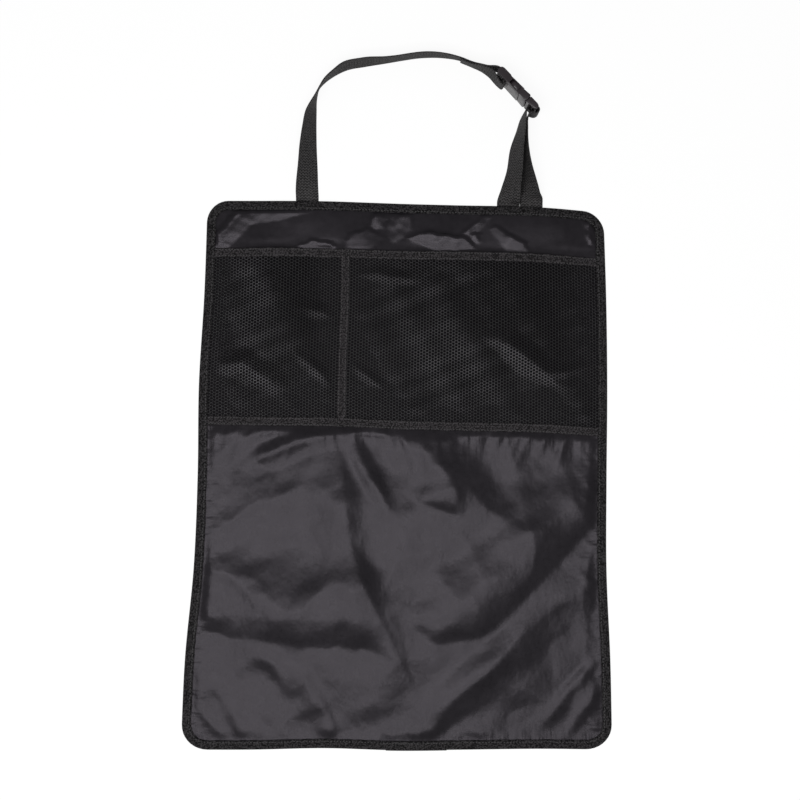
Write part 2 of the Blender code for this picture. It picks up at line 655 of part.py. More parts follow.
def make_straps(parts, cutters, material):
    """The long strap with its end sewn back round the socket's bar, and the short one
    that runs up through the clip and back down."""
    shape = flat_section("webbing_section", WEBBING_WIDTH, WEBBING_THICKNESS, cutters)
    loop = [Vector(knot) for knot in LONG_STRAP_LOOP]
    round_bar = arc_knots(SOCKET_TONGUE_LENGTH, 0, STRAND_OFFSET, -90, 0, 90)
    over_tongue = [
        Vector((*buckle_place(s, -STRAND_OFFSET), 90, WEBBING_LIFT)) for s in (0, SOCKET_TONGUE_LENGTH / 2)
    ]
    slack = (
        (0.0103, 0.0022, 90), (0.0118, 0.0042, 90), (0.0138, 0.0056, 90), (0.0152, 0.0067, 90),
        (0.0149, 0.0081, 90), (0.0124, 0.0087, 90), (0.0060, 0.0090, 94), (-0.0030, 0.0086, 98),
        (-0.0120, 0.0098, 93),
    )
    back = [Vector((*buckle_place(s, v), roll, WEBBING_LIFT)) for s, v, roll in slack]
    seam = loop[-2].xy - loop[-3].xy
    beside = Vector((seam.y, -seam.x)).normalized() * (WEBBING_THICKNESS + 1.3 * LAYER_GAP)
    seam_start = loop[-2].xy + beside
    seam_end = seam_start - seam.normalized() * STITCHED_LENGTH
    back += [
        Vector((*seam_start, 180 - loop[-2].z, loop[-2].w)),
        Vector((*seam_end, 180 - loop[-3].z, loop[-3].w)),
    ]
    knots = mat_end(LONG_STRAP_X, 1, 0) + loop + over_tongue + round_bar + back
    ribbon("strap_long", knots, shape, parts, material)

    up = mat_end(SHORT_STRAP_X, -1, 0) + [Vector(knot) for knot in SHORT_STRAP_UP]
    middle, end = CLIP_START + MIDDLE_BAR_AT, CLIP_START + END_BAR_AT
    enter = [
        Vector((*buckle_place(middle - STRAND_OFFSET, v), -90, WEBBING_LIFT))
        for v in (0.0052, 0.0026)
    ]
    wrap = arc_knots(middle, 0, STRAND_OFFSET, -180, -90, -90)
    over = [Vector((*buckle_place(s, -STRAND_OFFSET), -90, WEBBING_LIFT)) for s in (end, end + 0.002)]
    turn = ((0.0040, -0.0014), (0.0050, 0.0012), (0.0042, 0.0038), (0.0018, 0.0058))
    bulge = [Vector((*buckle_place(end + s, v), -90, WEBBING_LIFT)) for s, v in turn]
    down = [Vector(knot) for knot in SHORT_STRAP_DOWN]
    second = SHORT_STRAP_X + WEBBING_WIDTH + SHORT_STRAP_GAP
    last = list(reversed(mat_end(second, -1, -180)))
    ribbon("strap_short", up + enter + wrap + over + bulge + down + last, shape, parts, material)


def box(name, size, middle, collection, material=None):
    """A box from a primitive cube, its size and place in its own frame."""
    mesh = bmesh.new()
    place = Matrix.Translation(middle) @ Matrix.Diagonal((*size, 1))
    bmesh.ops.create_cube(mesh, size=1, matrix=place)
    return mesh_object(name, mesh, collection, material)


def plate(name, outline, thickness, collection, material=None):
    """A flat plate of an outline in its own XY plane, half its thickness to each side."""
    mesh = bmesh.new()
    edge = [mesh.verts.new((x, y, -thickness / 2)) for x, y in outline]
    face = bmesh.ops.contextual_create(mesh, geom=edge)["faces"]
    raised = bmesh.ops.extrude_face_region(mesh, geom=face)["geom"]
    corners = [item for item in raised if isinstance(item, bmesh.types.BMVert)]
    bmesh.ops.translate(mesh, vec=(0, 0, thickness), verts=corners)
    bmesh.ops.recalc_face_normals(mesh, faces=mesh.faces)
    return mesh_object(name, mesh, collection, material)


def span_box(name, x_range, half_width, z_range, frame, collection, material=None):
    """A box of the buckle between two places on its axis and two heights."""
    (x0, x1), (z0, z1) = x_range, z_range
    size = (x1 - x0, 2 * half_width, z1 - z0)
    obj = box(name, size, ((x0 + x1) / 2, 0, (z0 + z1) / 2), collection, material)
    obj.parent = frame
    return obj


def round_edges(obj, width):
    """Rounds the edges of a box before anything is cut from it."""
    modifier = obj.modifiers.new("rounded edges", "BEVEL")
    modifier.width = width
    modifier.segments = 2


def bar(name, along, length, frame, cutters):
    """A round bar across the buckle."""
    mesh = bmesh.new()
    turn = Matrix.Translation((along, 0, 0)) @ Matrix.Rotation(math.pi / 2, 4, "X")
    bmesh.ops.create_cone(
        mesh, cap_ends=True, segments=12, radius1=BAR_RADIUS, radius2=BAR_RADIUS, depth=length, matrix=turn
    )
    obj = mesh_object(name, mesh, cutters)
    obj.parent = frame
    return obj


def make_socket(frame, parts, cutters, material):
    """The buckle's socket: a hollow body with a mouth, side windows and a webbing bar."""
    half, depth = BUCKLE_WIDTH / 2, SOCKET_THICKNESS / 2
    body = span_box("buckle_socket", (0, SOCKET_LENGTH), half, (-depth, depth), frame, parts, material)
    round_edges(body, BUCKLE_EDGE_ROUND)
    hollow = depth - SOCKET_WALL
    past = SOCKET_THICKNESS
    slot_end = SOCKET_TONGUE_LENGTH + SOCKET_SLOT_LENGTH
    tongue = SOCKET_TONGUE_THICKNESS / 2
    webbing_half = WEBBING_WIDTH / 2 + WEBBING_PLAY
    cuts = (
        ("mouth", (SOCKET_CAVITY_START, SOCKET_LENGTH + past), MOUTH_HALF_WIDTH, (-hollow, hollow)),
        ("windows", (WINDOW_START, WINDOW_END), half + past, (-hollow, hollow)),
        ("slot", (SOCKET_TONGUE_LENGTH, slot_end), webbing_half, (-past, past)),
        ("front_recess", (-past, slot_end), webbing_half, (tongue, past)),
        ("back_recess", (-past, slot_end), webbing_half, (-past, -tongue)),
    )
    for name, x_range, half_width, z_range in cuts:
        combine(body, span_box(name, x_range, half_width, z_range, frame, cutters), "DIFFERENCE")
    length = BUCKLE_WIDTH - BUCKLE_SIDE
    combine(body, bar("socket_bar", SOCKET_TONGUE_LENGTH, length, frame, cutters), "UNION")


def prong_outline():
    """The clip's two prongs and centre guide in plan, as one closed outline."""
    root = CLIP_START + CLIP_BASE_LENGTH / 2
    outer = MOUTH_HALF_WIDTH - PRONG_PLAY
    inner = outer - PRONG_WIDTH
    notch = CLIP_START - BUCKLE_GAP
    pad_start, pad_end = PRONG_TIP, WINDOW_END - PRONG_PLAY
    half = [
        (root, outer),
        (pad_end, outer),
        (pad_end - BUCKLE_GAP, PAD_REACH),
        (pad_start + PRONG_WIDTH, PAD_REACH),
        (pad_start, outer),
        (pad_start, inner + PRONG_WIDTH / 3),
        (pad_start + PRONG_WIDTH / 2, inner),
        (notch - PRONG_WIDTH, inner),
        (notch, inner - PRONG_WIDTH / 2),
        (notch, GUIDE_HALF_WIDTH),
        (GUIDE_TIP, GUIDE_HALF_WIDTH),
        (GUIDE_TIP - GUIDE_HALF_WIDTH / 2, GUIDE_HALF_WIDTH / 2),
    ]
    return half + [(x, -y) for x, y in reversed(half)]


def make_clip(frame, parts, cutters, material):
    """The buckle's clip: prongs and guide on a base with two webbing bars."""
    half, depth = BUCKLE_WIDTH / 2, CLIP_THICKNESS / 2
    thickness = SOCKET_THICKNESS - 2 * (SOCKET_WALL + BUCKLE_GAP)
    clip = plate("buckle_clip", prong_outline(), thickness, parts, material)
    clip.parent = frame

    end = CLIP_START + CLIP_LENGTH
    base = span_box("clip_base", (CLIP_START, end), half, (-depth, depth), frame, cutters)
    round_edges(base, BUCKLE_EDGE_ROUND)
    opening = span_box(
        "clip_opening",
        (CLIP_START + CLIP_BASE_LENGTH, end + CLIP_LENGTH),
        WEBBING_WIDTH / 2 + WEBBING_PLAY,
        (-CLIP_THICKNESS, CLIP_THICKNESS),
        frame,
        cutters,
    )
    combine(base, opening, "DIFFERENCE")
    combine(clip, base, "UNION")
    for name, at in (("middle_bar", MIDDLE_BAR_AT), ("end_bar", END_BAR_AT)):
        length = BUCKLE_WIDTH - BUCKLE_SIDE
        combine(clip, bar(name, CLIP_START + at, length, frame, cutters), "UNION")


def make_buckle(parts, cutters, material):
    """Both halves of the buckle, standing on its long edge."""
    frame = bpy.data.objects.new("buckle_frame", None)
    parts.objects.link(frame)
    angle = math.radians(BUCKLE_ANGLE)
    axis = Vector((math.cos(angle), math.sin(angle), 0))
    across = Vector((0, 0, 1))
    turn = Matrix((axis, across, axis.cross(across))).transposed().to_4x4()
    start = Vector((BUCKLE_START[0] + TOP_EDGE_SHIFT, BUCKLE_START[1] + TOP_Y, BUCKLE_WIDTH / 2))
    frame.matrix_world = Matrix.Translation(start) @ turn
    make_socket(frame, parts, cutters, material)
    make_clip(frame, parts, cutters, material)


def main():
    """Builds every part of the mat."""
    clear_scene()
    parts = make_collection("seat_back_kick_mat")
    cutters = make_collection("sections_and_cutters")
    fabric = make_material("black nylon", (0.030, 0.028, 0.032), 0.38)
    tape = make_material("black woven tape", (0.018, 0.018, 0.018), 0.80)
    netting = make_material("black net", (0.012, 0.012, 0.013), 0.60)
    webbing = make_material("black webbing", (0.022, 0.021, 0.021), 0.75)
    plastic = make_material("black acetal", (0.020, 0.020, 0.021), 0.35)
    make_panel(parts, fabric)
    make_binding(parts, cutters, tape)
    make_net(parts, netting)
    make_pocket_tapes(parts, cutters, tape)
    make_straps(parts, cutters, webbing)
    make_buckle(parts, cutters, plastic)


main()
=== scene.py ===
"""Dresses the seat back kick mat: coated cloth with its folds, woven edge tape, knitted
net pockets, ribbed webbing, a moulded side release buckle, and the seams that join them."""

from __future__ import annotations

import logging
import math
from dataclasses import dataclass, field
from enum import Enum

import bmesh
import bpy
import numpy as np
from mathutils import Matrix, Vector, noise

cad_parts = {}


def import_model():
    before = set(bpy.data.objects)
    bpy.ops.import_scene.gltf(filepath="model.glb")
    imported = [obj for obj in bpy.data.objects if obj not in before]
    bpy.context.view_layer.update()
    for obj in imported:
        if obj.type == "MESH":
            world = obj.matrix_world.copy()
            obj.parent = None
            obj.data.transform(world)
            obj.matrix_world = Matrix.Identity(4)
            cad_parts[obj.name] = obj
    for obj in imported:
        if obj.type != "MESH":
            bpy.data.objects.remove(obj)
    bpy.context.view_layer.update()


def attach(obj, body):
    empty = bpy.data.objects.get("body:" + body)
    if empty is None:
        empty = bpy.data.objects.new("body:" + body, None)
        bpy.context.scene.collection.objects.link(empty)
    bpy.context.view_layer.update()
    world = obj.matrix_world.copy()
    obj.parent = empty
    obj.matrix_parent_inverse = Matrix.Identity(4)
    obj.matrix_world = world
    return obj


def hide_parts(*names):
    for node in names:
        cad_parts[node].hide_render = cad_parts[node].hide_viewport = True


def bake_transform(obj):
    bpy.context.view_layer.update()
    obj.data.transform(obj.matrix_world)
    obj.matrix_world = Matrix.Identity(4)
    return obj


log = logging.getLogger("kick_mat")

Colour = tuple[float, float, float]
Points = np.ndarray


class Body(Enum):
    """The rigid bodies that pieces ride on."""

    MAT = "mat"
    CLIP = "clip"


class Slot(Enum):
    """The record's material slots."""

    NYLON = "nylon"
    TAPE = "tape"
    NET = "net"
    WEBBING = "webbing"
    ACETAL = "acetal"


class Side(Enum):
    """The side of a strap on which it stands when it is turned on edge."""

    LEFT = -1.0
    RIGHT = 1.0


# Curves and helpers


def smooth_curve(knots: Points, at: Points, place: Points, steady: bool = False) -> Points:
    """A smooth curve through knots, read at many places.

    Args:
        knots: One row or number for each knot.
        at: The distance at which each knot stands.
        place: The distances to read.
        steady: Whether to run level at a knot where the curve would overshoot.

    Returns:
        One row or number for each place.
    """
    knots = np.asarray(knots, float)
    flat = knots.ndim == 1
    values = knots[:, None] if flat else knots
    at, place = np.asarray(at, float), np.asarray(place, float)
    gaps = np.diff(at)
    slopes = np.diff(values, axis=0) / gaps[:, None]
    tangents = np.empty_like(values)
    tangents[0], tangents[-1] = slopes[0], slopes[-1]
    before, after = gaps[:-1, None], gaps[1:, None]
    tangents[1:-1] = (slopes[:-1] * after + slopes[1:] * before) / (before + after)
    if steady:
        tangents[1:-1][slopes[:-1] * slopes[1:] <= 0] = 0
    index = np.clip(np.searchsorted(at, place, side="right") - 1, 0, len(gaps) - 1)
    span = gaps[index][:, None]
    t = ((place - at[index]) / gaps[index])[:, None]
    result = (
        values[index] * (2 * t**3 - 3 * t**2 + 1)
        + tangents[index] * span * (t**3 - 2 * t**2 + t)
        + values[index + 1] * (3 * t**2 - 2 * t**3)
        + tangents[index + 1] * span * (t**3 - t**2)
    )
    return result[:, 0] if flat else result


def smoothstep(value: Points | float) -> Points:
    """0 below 0, 1 above 1 and a smooth rise between."""
    value = np.clip(value, 0.0, 1.0)
    return value * value * (3 - 2 * value)


def ripple(place: Points, pitch: float, seed: float) -> Points:
    """An uneven wave between about -1 and 1 with a given mean pitch."""
    turn = 2 * math.pi * place / pitch
    return (
        np.sin(turn + 1.7 * np.sin(turn * 0.31 + seed) + seed * 2.1) * 0.6
        + np.sin(turn * 1.63 + seed * 5.3) * 0.25
        + np.sin(turn * 0.47 + seed * 3.1) * 0.25
    )


def spaced(start: float, end: float, longest: float) -> Points:
    """Evenly spaced values from start to end, no further apart than the longest step."""
    return np.linspace(start, end, max(2, math.ceil(abs(end - start) / longest) + 1))


def activate(piece: bpy.types.Object) -> None:
    """Makes one piece the only selected one."""
    bpy.ops.object.select_all(action="DESELECT")
    piece.hide_set(False)
    piece.select_set(True)
    bpy.context.view_layer.objects.active = piece


def apply_modifiers(piece: bpy.types.Object) -> None:
    """Applies every modifier of a piece in order."""
    activate(piece)
    for modifier in list(piece.modifiers):
        bpy.ops.object.modifier_apply(modifier=modifier.name)


def mesh_piece(
    name: str, points: Points, faces: list[tuple[int, ...]], uv: Points | None = None
) -> bpy.types.Object:
    """A smooth-shaded piece from its points and faces.

    Args:
        name: The piece's name.
        points: One row for each point, in metres.
        faces: The point numbers round each face.
        uv: One UV row for each point, in metres of cloth.

    Returns:
        The new object, at the origin.
    """
    data = bpy.data.meshes.new(name)
    data.from_pydata([tuple(p) for p in points], [], faces)
    if uv is not None:
        layer = data.uv_layers.new(name="cloth")
        corners = np.empty(len(data.loops), np.int32)
        data.loops.foreach_get("vertex_index", corners)
        layer.data.foreach_set("uv", uv[corners].astype(np.float32).ravel())
    data.shade_smooth()
    piece = bpy.data.objects.new(name, data)
    bpy.context.scene.collection.objects.link(piece)
    return piece


def dress(
    piece: bpy.types.Object, material: bpy.types.Material, body: Body = Body.MAT
) -> bpy.types.Object:
    """Gives a piece its one material and its body.

    Args:
        piece: The finished piece.
        material: Its material.
        body: The body that it rides on.

    Returns:
        The same piece.
    """
    piece.data.materials.clear()
    piece.data.materials.append(material)
    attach(piece, body.value)
    log.info("%s: %d faces", piece.name, len(piece.data.polygons))
    return piece


def loft(name: str, rings: Points, closed: bool, smooth_angle: float = 40.0) -> bpy.types.Object:
    """A tube through rings of points, with a UV map in metres along and around it.

    Args:
        name: The piece's name.
        rings: Array of stations, points round each and coordinates; each ring runs
            anticlockwise seen along the travel.
        closed: Whether the last station joins the first; otherwise the ends are capped.
        smooth_angle: Edges sharper than this many degrees stay crisp.

    Returns:
        The new object.
    """
    stations, around, _ = rings.shape
    count = stations if closed else stations - 1
    number = np.arange(stations * around).reshape(stations, around)
    faces = []
    for i in range(count):
        here, there = number[i], number[(i + 1) % stations]
        for j in range(around):
            k = (j + 1) % around
            faces.append((here[j], here[k], there[k], there[j]))
    if not closed:
        faces.append(tuple(number[0][::-1]))
        faces.append(tuple(number[-1]))
    middle = rings.mean(axis=1)
    along = np.concatenate([[0], np.cumsum(np.linalg.norm(np.diff(middle, axis=0), axis=1))])
    ring = rings[stations // 2]
    across = np.concatenate([[0], np.cumsum(np.linalg.norm(np.diff(ring, axis=0), axis=1))])
    uv = np.stack([np.tile(across, stations), np.repeat(along, around)], axis=1)
    piece = mesh_piece(name, rings.reshape(-1, 3), [tuple(int(n) for n in f) for f in faces], uv)
    activate(piece)
    bpy.ops.object.shade_smooth_by_angle(angle=math.radians(smooth_angle))
    return piece


# Shading


class Signal:
    """A node socket whose arithmetic adds Math nodes."""

    def __init__(self, tree: bpy.types.NodeTree, socket: bpy.types.NodeSocket) -> None:
        """Wraps one output socket of a node tree."""
        self.tree = tree
        self.socket = socket

    def _math(self, operation: str, first: Signal | float, second: Signal | float) -> Signal:
        """Adds one Math node.

        Args:
            operation: The node's operation.
            first: Its first value or signal.
            second: Its second value or signal.

        Returns:
            The node's result.
        """
        node = self.tree.nodes.new("ShaderNodeMath")
        node.operation = operation
        for index, value in enumerate((first, second)):
            if isinstance(value, Signal):
                self.tree.links.new(value.socket, node.inputs[index])
            else:
                node.inputs[index].default_value = value
        return Signal(self.tree, node.outputs[0])

    def __add__(self, other: Signal | float) -> Signal:
        """Sum of two values."""
        return self._math("ADD", self, other)

    def __radd__(self, other: float) -> Signal:
        """Sum of two values."""
        return self._math("ADD", other, self)

    def __sub__(self, other: Signal | float) -> Signal:
        """Difference of two values."""
        return self._math("SUBTRACT", self, other)

    def __rsub__(self, other: float) -> Signal:
        """Difference of two values."""
        return self._math("SUBTRACT", other, self)

    def __mul__(self, other: Signal | float) -> Signal:
        """Product of two values."""
        return self._math("MULTIPLY", self, other)

    def __rmul__(self, other: float) -> Signal:
        """Product of two values."""
        return self._math("MULTIPLY", other, self)

    def __pow__(self, power: float) -> Signal:
        """This value to a power."""
        return self._math("POWER", self, power)

    def highest(self, other: Signal | float) -> Signal:
        """The larger of two values."""
        return self._math("MAXIMUM", self, other)

    def lowest(self, other: Signal | float) -> Signal:
        """The smaller of two values."""
        return self._math("MINIMUM", self, other)

    def wave(self, per_metre: float) -> Signal:
        """A cosine wave from 0 to 1 with a number of turns in each metre."""
        turn = self * (2 * math.pi * per_metre)
        return self._math("COSINE", turn, 0.0) * 0.5 + 0.5


class Surface:
    """The node tree of one material, with its Principled shader."""

    def __init__(self, name: str) -> None:
        """Starts a material of that name."""
        self.material = bpy.data.materials.new(name)
        self.material.use_nodes = True
        self.tree = self.material.node_tree
        self.shader = self.tree.nodes["Principled BSDF"]

    def node(self, kind: str, settings: dict | None = None, **sockets: object) -> bpy.types.Node:
        """Adds any node.

        Args:
            kind: The node's type.
            settings: Its settings, set before its sockets.
            **sockets: Values or signals of its input sockets, with _ for a space.

        Returns:
            The node.
        """
        added = self.tree.nodes.new(kind)
        for key, value in (settings or {}).items():
            setattr(added, key, value)
        for key, value in sockets.items():
            socket = added.inputs[key.replace("_", " ")]
            if isinstance(value, Signal):
                self.tree.links.new(value.socket, socket)
            elif isinstance(value, bpy.types.NodeSocket):
                self.tree.links.new(value, socket)
            else:
                socket.default_value = value
        return added

    def value(self, node: bpy.types.Node, output: str | int = 0) -> Signal:
        """One output of a node as a signal."""
        return Signal(self.tree, node.outputs[output])

    def cloth_place(self) -> tuple[Signal, Signal]:
        """The place on the cloth in metres, across it and along it."""
        own = self.node("ShaderNodeUVMap", {"uv_map": "cloth"}).outputs[0]
        split = self.node("ShaderNodeSeparateXYZ", Vector=own)
        return self.value(split, "X"), self.value(split, "Y")

    def object_noise(self, scale: float, detail: float, stretch: Colour = (1, 1, 1)) -> Signal:
        """Noise on the object's own coordinates.

        Args:
            scale: Cells in a metre.
            detail: Octaves.
            stretch: Scale along each axis.

        Returns:
            The noise from 0 to 1.
        """
        place = self.node("ShaderNodeTexCoord").outputs["Object"]
        mapped = self.node("ShaderNodeMapping", Vector=place, Scale=stretch).outputs[0]
        found = self.node("ShaderNodeTexNoise", Vector=mapped, Scale=scale, Detail=detail)
        return self.value(found, 0)

    def attribute(self, name: str) -> Signal:
        """A number that is kept on the mesh's points."""
        return self.value(self.node("ShaderNodeAttribute", {"attribute_name": name}), "Fac")

    def blend(self, mask: Signal, low: Colour, high: Colour) -> bpy.types.NodeSocket:
        """A colour between two, by a mask."""
        mixed = self.node("ShaderNodeMix", {"data_type": "RGBA"})
        self.tree.links.new(mask.socket, mixed.inputs[0])
        mixed.inputs[6].default_value = (*low, 1)
        mixed.inputs[7].default_value = (*high, 1)
        return mixed.outputs[2]

    def bump(self, height: Signal, depth: float, strength: float = 1.0) -> None:
        """Raises the surface by a height signal of up to depth metres."""
        made = self.node("ShaderNodeBump", Height=height, Distance=depth, Strength=strength)
        self.tree.links.new(made.outputs[0], self.shader.inputs["Normal"])

    def finish(
        self, colour: bpy.types.NodeSocket, roughness: Signal | float, specular: float = 0.5
    ) -> bpy.types.Material:
        """Sets colour and gloss.

        Args:
            colour: The base colour's socket.
            roughness: A signal or a number.
            specular: The shader's specular level.

        Returns:
            The material.
        """
        self.tree.links.new(colour, self.shader.inputs["Base Color"])
        if isinstance(roughness, Signal):
            self.tree.links.new(roughness.socket, self.shader.inputs["Roughness"])
        else:
            self.shader.inputs["Roughness"].default_value = roughness
        self.shader.inputs["Specular IOR Level"].default_value = specular
        return self.material


@dataclass(frozen=True)
class CoatedNylon:
    """Satin nylon weave with a coated back: fine plain weave, pulls along the seams and painted shade under
    the net.
    """

    low: Colour = (0.0032, 0.0029, 0.0034)
    high: Colour = (0.0270, 0.0245, 0.0285)
    sheen: Colour = (0.97, 0.90, 1.00)
    roughness: float = 0.28
    specular: float = 0.145
    threads_per_metre: float = 1500.0
    pucker_depth: float = 0.0011

    def material(self) -> bpy.types.Material:
        """Builds the cloth's material."""
        surface = Surface("coated_nylon")
        across, along = surface.cloth_place()
        weave = across.wave(self.threads_per_metre) * along.wave(self.threads_per_metre)
        clouds = surface.object_noise(14, 3)
        rub = surface.object_noise(160, 4)
        header = surface.attribute("header")
        creases = surface.object_noise(30, 3, (1.0, 0.6, 1.0)) * (1 - header * 0.75)
        puckers = surface.object_noise(150, 2, (1.0, 0.15, 0.3)) * surface.attribute("tape_pull")
        pulls = surface.object_noise(85, 2, (0.28, 1.0, 0.3)) * surface.attribute("seam_pull")
        crinkles = surface.object_noise(70, 3, (1.0, 0.7, 1.0)) * (1 - header * 0.6)
        height = weave * 0.010 + creases * 0.80 + crinkles * 0.45
        height = height + puckers * 0.85 + pulls * 1.6 + rub * 0.05
        surface.bump(height, self.pucker_depth)
        shade = clouds * 0.55 + rub * 0.30 + weave * 0.15
        # net_shade is painted shade: the cloth under the net is darkened and made rougher in place of the
        # net's shadow
        shaded = surface.attribute("net_shade")
        surface.shader.inputs["Specular Tint"].default_value = (*self.sheen, 1)
        return surface.finish(
            surface.blend(shade * (1 - shaded), self.low, self.high),
            (rub * 0.08 + (self.roughness - 0.04) - header * 0.05 + shaded * 0.5).lowest(0.95),
            self.specular,
        )


@dataclass(frozen=True)
class WovenTape:
    """Matt woven tape with fine ribs across it."""

    low: Colour = (0.0070, 0.0062, 0.0068)
    high: Colour = (0.0700, 0.0640, 0.0685)
    roughness: float = 0.70
    ribs_per_metre: float = 1250.0
    name: str = "woven_tape"

    def material(self) -> bpy.types.Material:
        """Builds the tape's material."""
        surface = Surface(self.name)
        across, along = surface.cloth_place()
        ribs = along.wave(self.ribs_per_metre)
        warp = across.wave(self.ribs_per_metre * 0.8)
        fluff = surface.object_noise(600, 2)
        worn = surface.object_noise(90, 3)
        grain = ((fluff - 0.5) * 5.0 + 0.45).highest(0.0).lowest(1.0)
        shade = ribs * warp * 0.10 + grain * 0.85 + worn * 0.30 - 0.24
        surface.bump(ribs * 0.6 + warp * 0.4 + fluff * 1.0, 0.00040)
        return surface.finish(surface.blend(shade, self.low, self.high), self.roughness, 0.14)


@dataclass(frozen=True)
class RibbedWebbing:
    """Webbing with long ribs and a herringbone of threads between them."""

    low: Colour = (0.0035, 0.0033, 0.0034)
    high: Colour = (0.0640, 0.0605, 0.0615)
    roughness: float = 0.62
    ribs_per_metre: float = 300.0
    picks_per_metre: float = 330.0

    def material(self) -> bpy.types.Material:
        """Builds the webbing's material."""
        surface = Surface("ribbed_webbing")
        across, along = surface.cloth_place()
        ribs = across.wave(self.ribs_per_metre)
        slant = (along + across * 0.8).wave(self.picks_per_metre)
        counter = (along - across * 0.8).wave(self.picks_per_metre)
        threads = slant * ribs + counter * (1 - ribs)
        fluff = surface.object_noise(480, 2)
        grain = ((fluff - 0.5) * 2.8 + 0.5).highest(0.0).lowest(1.0)
        checks = ((threads - 0.5) * 1.8 + 0.5).highest(0.0).lowest(1.0)
        shade = checks * 0.70 + grain * 0.50 - 0.22
        surface.bump(threads * 0.7 + ribs * 0.5 + fluff * 0.4, 0.00045)
        return surface.finish(surface.blend(shade, self.low, self.high), self.roughness, 0.24)


@dataclass(frozen=True)
class KnittedNet:
    """Twisted filament threads of the net, with a painted highlight where its folds face the lamps."""

    low: Colour = (0.0060, 0.0056, 0.0064)
    high: Colour = (0.1150, 0.1100, 0.1180)
    roughness: float = 0.34

    def material(self) -> bpy.types.Material:
        """Builds the net's material."""
        surface = Surface("knitted_net")
        twist = surface.object_noise(560, 2)
        tone = surface.object_noise(26, 3)
        painted_highlight = surface.attribute("painted_highlight")
        strand = ((twist - 0.5) * 2.2 + 0.5).highest(0.0).lowest(1.0)
        surface.bump(twist, 0.0003)
        # the attribute from the net's build is a painted highlight: threads on folds tilted toward the
        # lamps are drawn brighter
        shade = (strand * 0.55 + tone * 0.45) * (painted_highlight * 1.45 + 0.13)
        return surface.finish(surface.blend(shade, self.low, self.high), self.roughness, 0.30)


@dataclass(frozen=True)
class MouldedAcetal:
    """Satin moulded plastic with a fine spark texture."""

    low: Colour = (0.0180, 0.0135, 0.0160)
    high: Colour = (0.0320, 0.0245, 0.0290)
    roughness: float = 0.26

    def material(self) -> bpy.types.Material:
        """Builds the buckle's material."""
        surface = Surface("moulded_acetal")
        grain = surface.object_noise(2600, 2)
        flow = surface.object_noise(90, 3)
        surface.bump(grain, 0.00006)
        return surface.finish(
            surface.blend(flow, self.low, self.high), grain * 0.12 + (self.roughness - 0.06), 0.5
        )


@dataclass(frozen=True)
class SewingThread:
    """Bonded thread of the seams."""

    low: Colour = (0.0200, 0.0190, 0.0200)
    high: Colour = (0.0850, 0.0820, 0.0850)

    def material(self) -> bpy.types.Material:
        """Builds the thread's material."""
        surface = Surface("sewing_thread")
        twist = surface.object_noise(1800, 1)
        surface.bump(twist, 0.0001)
        return surface.finish(surface.blend(twist, self.low, self.high), 0.5, 0.45)


@dataclass(frozen=True)
class Finishes:
    """One material of each finish."""

    nylon: bpy.types.Material
    tape: bpy.types.Material
    binding: bpy.types.Material
    webbing: bpy.types.Material
    net: bpy.types.Material
    acetal: bpy.types.Material
    thread: bpy.types.Material

    @classmethod
    def make(cls) -> Finishes:
        """Builds every material once."""
        return cls(
            CoatedNylon().material(),
            # two copies of one woven tape: the pocket tapes' copy is lighter and the binding's darker,
            # painted light and shade for how light falls on them
            WovenTape().material(),
            WovenTape((0.0020, 0.0018, 0.0020), (0.0560, 0.0525, 0.0550), name="edge_tape").material(),
            RibbedWebbing().material(),
            KnittedNet().material(),
            MouldedAcetal().material(),
            SewingThread().material(),
        )


# The mat's plan


@dataclass(frozen=True)
class Fold:
    """One fold of the cloth in millimetres of the lying plan, steep on the right of its
    crest and easy on the left."""

    crest: tuple[tuple[float, float, float, float], ...]
    easy: float = 40.0
    sharp_foot: bool = False

    def rise(self, x: Points, y: Points) -> Points:
        """The fold's height at places of the lying plan.

        Args:
            x: Places to the right, in metres.
            y: Places upward, in metres.

        Returns:
            The height at each place, in metres.
        """
        knots = np.array(self.crest, float) / 1000
        best = np.full(x.shape, np.inf)
        width, height, side = np.ones(x.shape), np.zeros(x.shape), np.zeros(x.shape)
        for a, b in zip(knots, knots[1:]):
            span = math.dist(a[:2], b[:2])
            dx, dy = (b[:2] - a[:2]) / span
            t = np.clip((x - a[0]) * dx + (y - a[1]) * dy, 0, span)
            ox, oy = x - a[0] - dx * t, y - a[1] - dy * t
            distance = np.hypot(ox, oy)
            nearer = distance < best
            best = np.where(nearer, distance, best)
            width = np.where(nearer, a[2] + (b[2] - a[2]) * t / span, width)
            height = np.where(nearer, a[3] + (b[3] - a[3]) * t / span, height)
            side = np.where(nearer, dx * oy - dy * ox, side)
        fall = np.clip(best / width, 0, 1)
        steep = 1 - fall**1.7 if self.sharp_foot else (1 - fall) ** 1.5
        easy = smoothstep(1 - best / (self.easy / 1000))
        left = smoothstep(0.5 + 0.5 * side / np.maximum(best, 1e-7))
        return height * (easy * left + steep * (1 - left))


@dataclass(frozen=True)
class Facet:
    """A flat patch of crumpled cloth between crisp creases, in millimetres of the lying
    plan. It rises evenly from its lower sides and drops off at its upper ones."""

    corners: tuple[tuple[float, float], ...]
    slope: float = 0.17
    drop: float = 0.9

    def rise(self, x: Points, y: Points) -> Points:
        """The patch's height at places of the lying plan.

        Args:
            x: Places to the right, in metres.
            y: Places upward, in metres.

        Returns:
            The height at each place, in metres.
        """
        ring = np.array(self.corners, float) / 1000
        height = np.full(x.shape, np.inf)
        x, y = x + 0.0011 * ripple(y + 0.4 * x, 0.016, 1.0), y + 0.0009 * ripple(x, 0.019, 2.0)
        for (ax, ay), (bx, by) in zip(ring, np.roll(ring, -1, axis=0)):
            length = math.hypot(bx - ax, by - ay)
            inward = ((x - ax) * (ay - by) + (y - ay) * (bx - ax)) / length
            tilt = self.slope if (bx - ax) / length > 0.25 else self.drop
            height = np.minimum(height, inward * tilt)
        return np.maximum(height, 0) * (1 + 0.12 * ripple(x - y, 0.023, 3.0))


